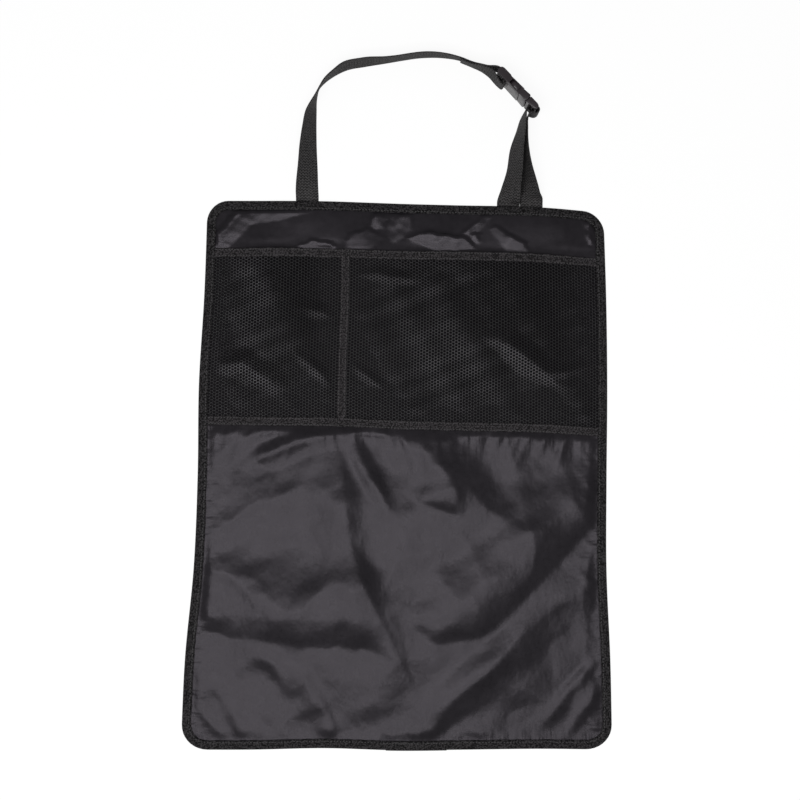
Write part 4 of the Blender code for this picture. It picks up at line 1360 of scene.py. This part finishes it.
@dataclass(frozen=True)
class BucklePlan:
    """Where the buckle stands and how long its parts are, along its axis."""

    start: tuple[float, float] = (0.1004, 0.1383)
    angle: float = -46.0
    width: float = 0.0332
    webbing_lift: float = 0.0041
    socket_length: float = 0.0455
    socket_thickness: float = 0.0086
    tongue_length: float = 0.0072
    slot_end: float = 0.0147
    cavity_start: float = 0.0175
    window: tuple[float, float] = (0.0187, 0.0325)
    mouth_half: float = 0.0137
    clip_start: float = 0.0458
    clip_base: float = 0.0038
    clip_end: float = 0.0599
    clip_thickness: float = 0.0072
    bar_radius: float = 0.0013
    middle_bar: float = 0.0533
    end_bar: float = 0.0579

    def place(self, along: float, across: float) -> Points:
        """A place in the buckle's plan, from the middle of the mat's top edge."""
        angle = math.radians(self.angle)
        axis = np.array([math.cos(angle), math.sin(angle)])
        inward = np.array([math.sin(angle), -math.cos(angle)])
        return np.array(self.start) + axis * along + inward * across

    def matrix(self, plan: MatPlan) -> Matrix:
        """Turns the buckle's own frame into the mat's."""
        angle = math.radians(self.angle)
        axis = Vector((math.cos(angle), math.sin(angle), 0))
        across = Vector((0, 0, 1))
        turn = Matrix((axis, across, axis.cross(across))).transposed().to_4x4()
        start = Vector((self.start[0] + plan.top_shift, self.start[1] + plan.top_y, self.width / 2))
        return Matrix.Translation(start) @ turn


@dataclass
class Webbing:
    """One strap of 25 mm webbing through knots of its lower edge."""

    plan: MatPlan
    name: str
    node: str
    side: Side
    width: float = 0.025
    thickness: float = 0.0014
    step: float = 0.0022

    def frames(self, knots: list[tuple[float, float, float, float]]) -> tuple[Points, Points, Points]:
        """Middle line, direction across and direction out of the webbing.

        Args:
            knots: x, y, roll in degrees and lift of the lower edge.

        Returns:
            The three, one row for each station.
        """
        rows = np.array(knots, float)
        at = np.concatenate([[0], np.cumsum(np.linalg.norm(np.diff(rows[:, :2], axis=0), axis=1))])
        spans = [spaced(a, b, min(self.step, (b - a) / 2)) for a, b in zip(at, at[1:])]
        place = np.unique(np.concatenate(spans))
        edge = smooth_curve(rows[:, :2], at, place)
        roll = np.radians(smooth_curve(rows[:, 2], at, place, steady=True))
        lift = smooth_curve(rows[:, 3], at, place, steady=True)
        forward = np.gradient(edge, axis=0)
        forward /= np.linalg.norm(forward, axis=1)[:, None]
        left = np.stack([-forward[:, 1], forward[:, 0]], axis=1)
        middle = edge + left * (self.side.value * self.width / 2 * np.cos(roll))[:, None]
        height = (self.width * np.abs(np.sin(roll)) + self.thickness * np.abs(np.cos(roll))) / 2 + lift
        shift = self.plan.top_shift
        centre = np.stack([middle[:, 0] + shift, middle[:, 1] + self.plan.top_y, height], axis=1)
        flat = np.zeros(len(place))
        right = np.stack([-left[:, 0], -left[:, 1], flat], axis=1)
        up = np.stack([flat, flat, flat + 1], axis=1)
        across = right * np.cos(roll)[:, None] - up * np.sin(roll)[:, None]
        out = up * np.cos(roll)[:, None] + right * np.sin(roll)[:, None]
        return centre, across, out

    def build(self, knots: list[tuple[float, float, float, float]], finishes: Finishes) -> bpy.types.Object:
        """Makes the strap.

        Args:
            knots: x, y, roll in degrees and lift of the lower edge.
            finishes: The materials.

        Returns:
            The strap, not yet on a body.
        """
        centre, across, out = self.frames(knots)
        a, b = self.width / 2, self.thickness / 2
        profile = [
            (a, -b * 0.35), (a, b * 0.35), (a - 0.0005, b * 0.9), (a - 0.0016, b), (a * 0.5, b), (0, b),
            (-a * 0.5, b), (-a + 0.0016, b), (-a + 0.0005, b * 0.9), (-a, b * 0.35), (-a, -b * 0.35),
            (-a + 0.0005, -b * 0.9), (-a + 0.0016, -b), (-a * 0.5, -b), (0, -b), (a * 0.5, -b),
            (a - 0.0016, -b), (a - 0.0005, -b * 0.9),
        ]
        rings = np.stack([centre + across * p + out * q for p, q in profile], axis=1)
        strap = loft(self.name, rings[:, ::-1], closed=False, smooth_angle=60)
        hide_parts(self.node)
        strap.data.materials.append(finishes.webbing)
        return strap


@dataclass
class HeadrestStraps:
    """The long strap round the socket's bar and the short one through the clip."""

    plan: MatPlan
    buckle: BucklePlan
    tuck: float = 0.014
    leave: float = 0.004
    long_x: float = -0.108
    short_x: float = 0.113
    strand: float = 0.0023
    loop: tuple[tuple[float, float, float, float], ...] = (
        (-0.0961, 0.0164, 16, 0), (-0.0967, 0.0340, 32, 0), (-0.0978, 0.0593, 46, 0),
        (-0.0981, 0.0780, 56, 0), (-0.0981, 0.0967, 68, 0), (-0.0978, 0.1121, 90, 0),
        (-0.0951, 0.1231, 97, 0), (-0.0891, 0.1297, 93, 0), (-0.0783, 0.1374, 88, 0),
        (-0.0635, 0.1442, 81, 0), (-0.0459, 0.1475, 81, 0), (-0.0206, 0.1517, 88, 0),
        (-0.0063, 0.1542, 90, 0), (0.0190, 0.1576, 90, 0), (0.0443, 0.1572, 93, 0),
        (0.0608, 0.1542, 96, 0), (0.0740, 0.1484, 95, 0.001), (0.0868, 0.1426, 90, 0.003),
    )
    climb: tuple[tuple[float, float, float, float], ...] = (
        (0.1048, 0.0120, -30, 0), (0.1111, 0.0318, -50, 0), (0.1154, 0.0575, -58, 0),
        (0.1221, 0.0761, -71, 0.001), (0.1264, 0.0890, -80, 0.003),
    )
    descent: tuple[tuple[float, float, float, float], ...] = (
        (0.1348, 0.0922, -90, 0.0038), (0.1328, 0.0894, -90, 0.003), (0.1315, 0.0850, -91, 0.0015),
        (0.1307, 0.0760, -93, 0.0005), (0.1299, 0.0684, -95, 0), (0.1291, 0.0560, -99, 0),
        (0.1284, 0.0430, -106, 0), (0.1275, 0.0293, -118, 0), (0.1268, 0.0150, -135, 0),
        (0.1257, 0.0060, -155, 0),
    )

    def mat_end(self, x: float, side: float, roll: float) -> list[tuple[float, float, float, float]]:
        """Knots where a strap leaves the mat, from its hidden end outward."""
        edge_x = x + side * 0.0125
        own = np.array([(edge_x / self.plan.top_width + 0.5) * self.plan.width])
        edge_y = float(self.plan.place(own, np.array([self.plan.height]), 0.0)[0, 1]) - self.plan.top_y
        return [(edge_x, edge_y - depth, roll, 0.0) for depth in (self.tuck, 0.0, -self.leave)]

    def in_buckle(
        self, places: list[tuple[float, float]], roll: float
    ) -> list[tuple[float, float, float, float]]:
        """Knots at places of the buckle's plan."""
        spots = (self.buckle.place(s, v) for s, v in places)
        return [(float(spot[0]), float(spot[1]), roll, self.buckle.webbing_lift) for spot in spots]

    def round_bar(self, along: float, start: int, end: int) -> list[tuple[float, float]]:
        """Places every 45 degrees round a bar."""
        step = 45 if end > start else -45
        angles = [math.radians(angle) for angle in range(start, end + step, step)]
        return [(along + self.strand * math.cos(a), self.strand * math.sin(a)) for a in angles]

    def long_knots(self) -> list[tuple[float, float, float, float]]:
        """Knots of the long strap, from the mat to its sewn end."""
        tongue = self.buckle.tongue_length
        inside = [(0, -self.strand), (tongue / 2, -self.strand)] + self.round_bar(tongue, -90, 0)
        inside += [(0.0103, 0.0022), (0.0118, 0.0042), (0.0138, 0.0056), (0.0152, 0.0067), (0.0149, 0.0081)]
        inside += [(0.0124, 0.0087)]
        back = [((0.0060, 0.0090), 94), ((-0.0030, 0.0086), 98), ((-0.0120, 0.0098), 93)]
        near, far = np.array(self.loop[-2][:2]), np.array(self.loop[-3][:2])
        seam = (near - far) / np.linalg.norm(near - far)
        beside = np.array([seam[1], -seam[0]]) * (0.0014 + 1.3 * 0.0003)
        first, last = near + beside, near + beside - seam * 0.014
        end = [
            (float(first[0]), float(first[1]), 180 - self.loop[-2][2], self.loop[-2][3]),
            (float(last[0]), float(last[1]), 180 - self.loop[-3][2], self.loop[-3][3]),
        ]
        turned = [knot for spot, roll in back for knot in self.in_buckle([spot], roll)]
        return self.mat_end(self.long_x, 1, 0) + list(self.loop) + self.in_buckle(inside, 90) + turned + end

    def short_knots(self) -> list[tuple[float, float, float, float]]:
        """Knots of the short strap, up to the clip and back down."""
        middle, end = self.buckle.middle_bar, self.buckle.end_bar
        inside = [(middle - self.strand, 0.0052), (middle - self.strand, 0.0026)]
        inside += self.round_bar(middle, -180, -90)
        inside += [(end, -self.strand), (end + 0.002, -self.strand)]
        turn = ((0.0040, -0.0014), (0.0050, 0.0012), (0.0042, 0.0038), (0.0018, 0.0058))
        inside += [(end + along, across) for along, across in turn]
        second = self.short_x + 0.025 + 0.0002
        last = list(reversed(self.mat_end(second, -1, -180)))
        start = self.mat_end(self.short_x, -1, 0)
        return start + list(self.climb) + self.in_buckle(inside, -90) + list(self.descent) + last

    def build(self, finishes: Finishes) -> None:
        """Makes both straps.

        Args:
            finishes: The materials.
        """
        long_strap = Webbing(self.plan, "long_webbing", "strap_long", Side.RIGHT)
        piece = long_strap.build(self.long_knots(), finishes)
        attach(piece, Body.MAT.value)
        short_strap = Webbing(self.plan, "short_webbing", "strap_short", Side.LEFT)
        piece = short_strap.build(self.short_knots(), finishes)
        top = self.plan.top_y
        start, end = (0.125, top + 0.010, 0), (0.140, top + 0.085, 0)
        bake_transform(piece)
        log.info("straps done")


@dataclass
class SideReleaseBuckle:
    """The buckle's socket and clip, modelled in the buckle's own frame."""

    plan: MatPlan
    buckle: BucklePlan

    def block(
        self,
        name: str,
        low: tuple[float, float, float],
        high: tuple[float, float, float],
        round_by: float = 0.0,
    ) -> bpy.types.Object:
        """A block between two corners, with its edges rounded.

        Args:
            name: The block's name.
            low: Its lowest corner: along, across and out of the buckle.
            high: Its highest corner.
            round_by: The rounding of its edges.

        Returns:
            The block.
        """
        bpy.ops.object.select_all(action="DESELECT")
        middle = [(a + b) / 2 for a, b in zip(low, high)]
        bpy.ops.mesh.primitive_cube_add(size=1, location=middle)
        made = bpy.context.object
        made.name = name
        made.scale = [b - a for a, b in zip(low, high)]
        bpy.ops.object.transform_apply(location=True, rotation=False, scale=True)
        if round_by:
            bevel = made.modifiers.new("rounding", "BEVEL")
            bevel.width = round_by
            bevel.segments = 4
            apply_modifiers(made)
        return made

    def combine(self, target: bpy.types.Object, tool: bpy.types.Object, operation: str) -> None:
        """Joins a tool to a piece, or cuts it out, and removes the tool."""
        change = target.modifiers.new(operation, "BOOLEAN")
        change.operation = operation
        change.object = tool
        apply_modifiers(target)
        bpy.data.objects.remove(tool, do_unlink=True)

    def rod(self, along: float, length: float) -> bpy.types.Object:
        """A round bar across the buckle."""
        bpy.ops.object.select_all(action="DESELECT")
        bpy.ops.mesh.primitive_cylinder_add(
            vertices=24, radius=self.buckle.bar_radius, depth=length,
            location=(along, 0, 0), rotation=(math.pi / 2, 0, 0),
        )
        made = bpy.context.object
        bpy.ops.object.transform_apply(location=True, rotation=True, scale=True)
        return made

    def settle(self, piece: bpy.types.Object, finishes: Finishes, node: str, body: Body) -> None:
        """Rounds a half's remaining edges and puts it in place on its body."""
        bevel = piece.modifiers.new("softened edges", "BEVEL")
        bevel.width = 0.00025
        bevel.segments = 2
        bevel.limit_method = "ANGLE"
        bevel.angle_limit = math.radians(35)
        apply_modifiers(piece)
        activate(piece)
        bpy.ops.object.shade_smooth_by_angle(angle=math.radians(35))
        piece.data.transform(self.buckle.matrix(self.plan))
        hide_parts(node)
        dress(piece, finishes.acetal, body)

    def build_socket(self, finishes: Finishes) -> None:
        """Makes the hollow half with its mouth, windows and webbing bar."""
        b = self.buckle
        half, depth = b.width / 2, b.socket_thickness / 2
        webbing_half = 0.013
        profile = [
            (0.0002, -1.6), (0.0016, -3.5), (0.0042, -4.3), (0.0140, -4.3), (0.0160, -3.6), (0.0330, -3.4),
            (0.0350, -4.2), (0.0440, -4.3), (0.0455, -3.2), (0.0455, 3.2), (0.0440, 4.3), (0.0350, 4.2),
            (0.0330, 3.4), (0.0160, 3.6), (0.0140, 4.3), (0.0042, 4.3), (0.0016, 3.5), (0.0002, 1.6),
        ]
        body = self.prism("socket_moulding", [(x, z / 1000) for x, z in profile], half)
        hollow = depth - 0.0016
        cuts = [
            (
                "mouth",
                (b.cavity_start, -b.mouth_half, -hollow),
                (b.socket_length * 2, b.mouth_half, hollow),
            ),
            ("windows", (b.window[0], -half * 2, -hollow), (b.window[1], half * 2, hollow)),
            ("slot", (b.tongue_length, -webbing_half, -depth * 3), (b.slot_end, webbing_half, depth * 3)),
            ("front_recess", (-depth * 3, -webbing_half, 0.0011), (b.slot_end, webbing_half, depth * 3)),
            ("back_recess", (-depth * 3, -webbing_half, -depth * 3), (b.slot_end, webbing_half, -0.0011)),
        ]
        for name, low, high in cuts:
            self.combine(body, self.block(name, low, high), "DIFFERENCE")
        self.combine(body, self.rod(b.tongue_length, b.width - 0.0036), "UNION")
        for side in (-1, 1):
            z = side * (depth - 0.0009)
            low, high = sorted((z - side * 0.0002, z + side * 0.0005))
            pad = self.block("grip", (0.0185, -half * 0.62, low), (0.0310, half * 0.62, high), 0.0002)
            self.combine(body, pad, "UNION")
        self.settle(body, finishes, "buckle_socket", Body.MAT)

    def build_clip(self, finishes: Finishes) -> None:
        """Makes the half with the prongs, the guide and the two bars."""
        b = self.buckle
        half, depth = b.width / 2, b.clip_thickness / 2
        profile = [
            (b.clip_start, -3.0), (0.0468, -3.6), (0.0560, -3.6), (0.0585, -2.9), (b.clip_end, -1.2),
            (b.clip_end, 1.2), (0.0585, 2.9), (0.0560, 3.6), (0.0468, 3.6), (b.clip_start, 3.0),
        ]
        clip = self.prism("clip_moulding", [(x, z / 1000) for x, z in profile], half)
        low, high = (b.clip_start + b.clip_base, -0.013, -depth * 3), (b.clip_end * 2, 0.013, depth * 3)
        opening = self.block("opening", low, high)
        self.combine(clip, opening, "DIFFERENCE")
        thick = 0.0024
        for side in (-1, 1):
            outline = [
                (0.0477, 13.2), (0.0320, 13.2), (0.0316, 15.7), (0.0262, 16.1), (0.0226, 15.7),
                (0.0196, 13.2), (0.0196, 11.2), (0.0211, 10.2), (0.0330, 10.4), (0.0425, 10.2),
                (0.0455, 8.7), (0.0477, 7.6),
            ]
            prong = self.plate("prong", [(x, side * y / 1000) for x, y in outline], thick)
            self.combine(clip, prong, "UNION")
        guide = [
            (0.0477, -0.0026), (0.0245, -0.0026), (0.0232, -0.0013),
            (0.0232, 0.0013), (0.0245, 0.0026), (0.0477, 0.0026),
        ]
        self.combine(clip, self.plate("guide", guide, thick * 0.9), "UNION")
        for along in (b.middle_bar, b.end_bar):
            self.combine(clip, self.rod(along, b.width - 0.0036), "UNION")
        self.settle(clip, finishes, "buckle_clip", Body.CLIP)

    def plate(
        self, name: str, outline: list[tuple[float, float]], half_thickness: float
    ) -> bpy.types.Object:
        """A flat plate of an outline.

        Args:
            name: The plate's name.
            outline: Places along and across the buckle.
            half_thickness: The thickness to each side.

        Returns:
            The plate.
        """
        mesh = bmesh.new()
        edge = [mesh.verts.new((x, y, -half_thickness)) for x, y in outline]
        face = bmesh.ops.contextual_create(mesh, geom=edge)["faces"]
        raised = bmesh.ops.extrude_face_region(mesh, geom=face)["geom"]
        corners = [item for item in raised if isinstance(item, bmesh.types.BMVert)]
        bmesh.ops.translate(mesh, vec=(0, 0, half_thickness * 2), verts=corners)
        bmesh.ops.recalc_face_normals(mesh, faces=mesh.faces)
        data = bpy.data.meshes.new(name)
        mesh.to_mesh(data)
        mesh.free()
        made = bpy.data.objects.new(name, data)
        bpy.context.scene.collection.objects.link(made)
        return made

    def prism(self, name: str, profile: list[tuple[float, float]], half_width: float) -> bpy.types.Object:
        """A block with one profile all across the buckle.

        Args:
            name: The block's name.
            profile: Places along and out of the buckle, anticlockwise.
            half_width: Its reach to each side.

        Returns:
            The block, with its rims rounded.
        """
        made = self.plate(name, profile, half_width)
        made.data.transform(Matrix.Rotation(math.radians(90), 4, "X"))
        rims = made.modifiers.new("rounding", "BEVEL")
        rims.width = 0.0009
        rims.segments = 3
        rims.limit_method = "ANGLE"
        rims.angle_limit = math.radians(50)
        apply_modifiers(made)
        return made

    def build(self, finishes: Finishes) -> None:
        """Makes both halves."""
        self.build_socket(finishes)
        self.build_clip(finishes)


# Studio


@dataclass
class Studio:
    """A pale floor, soft light from above and a camera that looks straight down."""

    eye: tuple[float, float, float] = (0.0039, 0.0035, 1.45)
    view_width: float = 0.880
    lamp_size: tuple[float, float] = (1.56, 1.04)
    lamp_place: tuple[float, float, float] = (-0.28, -0.44, 1.75)
    lamp_power: float = 12.9
    tube_size: tuple[float, float] = (1.40, 0.20)
    tube_shifts: tuple[float, ...] = (-0.33, 0.17)
    tube_power: float = 7.2
    sky: float = 0.30

    def floor(self) -> None:
        """Makes the floor, white to the camera apart from the object's shadow."""
        bpy.ops.object.select_all(action="DESELECT")
        bpy.ops.mesh.primitive_plane_add(size=12, location=(0, 0, -0.0002))
        ground = bpy.context.object
        ground.name = "floor"
        surface = Surface("white_floor")
        grain = surface.object_noise(3, 2)
        surface.finish(surface.blend(grain, (0.90, 0.90, 0.90), (0.93, 0.93, 0.93)), 0.9, 0.1)
        glow = surface.node("ShaderNodeEmission", Strength=1.03)
        ray = surface.value(surface.node("ShaderNodeLightPath"), "Is Camera Ray")
        mixed = surface.node("ShaderNodeMixShader")
        surface.tree.links.new((ray * 0.88).socket, mixed.inputs[0])
        surface.tree.links.new(surface.shader.outputs[0], mixed.inputs[1])
        surface.tree.links.new(glow.outputs[0], mixed.inputs[2])
        surface.tree.links.new(mixed.outputs[0], surface.tree.nodes["Material Output"].inputs["Surface"])
        ground.data.materials.append(surface.material)

    def lamp(
        self, name: str, size: tuple[float, float], place: tuple[float, float, float], power: float
    ) -> None:
        """Adds a flat lamp that faces down.

        Args:
            name: Its name.
            size: Its width and length.
            place: Its middle.
            power: Its power in watts.
        """
        lamp = bpy.data.lights.new(name, "AREA")
        lamp.shape = "RECTANGLE"
        lamp.size, lamp.size_y = size
        lamp.energy = power
        box = bpy.data.objects.new(name, lamp)
        box.location = place
        bpy.context.scene.collection.objects.link(box)

    def light(self) -> None:
        """Adds the softbox with its two brighter tubes, and the world's light."""
        x, y, z = self.lamp_place
        self.lamp("softbox", self.lamp_size, self.lamp_place, self.lamp_power)
        for index, shift in enumerate(self.tube_shifts):
            self.lamp(f"tube_{index + 1}", self.tube_size, (x, y + shift, z - 0.01), self.tube_power)
        world = bpy.data.worlds.new("studio")
        bpy.context.scene.world = world
        world.use_nodes = True
        tree = world.node_tree
        back = tree.nodes["Background"]
        back.inputs["Color"].default_value = (1, 1, 1, 1)
        ray = Signal(tree, tree.nodes.new("ShaderNodeLightPath").outputs["Is Camera Ray"])
        tree.links.new((ray * (1 - self.sky) + self.sky).socket, back.inputs["Strength"])

    def camera(self) -> None:
        """Adds the camera."""
        data = bpy.data.cameras.new("camera")
        data.sensor_width = 36
        data.lens = 36 * self.eye[2] / self.view_width
        eye = bpy.data.objects.new("camera", data)
        eye.location = self.eye
        bpy.context.scene.collection.objects.link(eye)
        bpy.context.scene.camera = eye

    def build(self) -> None:
        """Sets up the whole studio."""
        self.floor()
        self.light()
        self.camera()
        bpy.context.scene.view_settings.view_transform = "Standard"


def corners(box: tuple[Vector, Vector]) -> list[list[float]]:
    """A box as plain numbers."""
    return [[float(value) for value in corner] for corner in box]


def main() -> None:
    """Builds every piece of the mat and the studio round it."""
    logging.basicConfig(level=logging.INFO, format="%(message)s")
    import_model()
    plan, buckle = MatPlan(), BucklePlan()
    Studio().build()
    finishes = Finishes.make()
    seams = SeamThread("seam_stitches")
    PanelCloth(plan).build(finishes)
    NetCloth(plan).build(finishes)
    EdgeBinding(plan).build(finishes, seams)
    PocketTapes(plan).build(finishes, seams)
    HeadrestStraps(plan, buckle).build(finishes)
    SideReleaseBuckle(plan, buckle).build(finishes)
    seams.build(finishes)


if __name__ == "__main__":
    main()
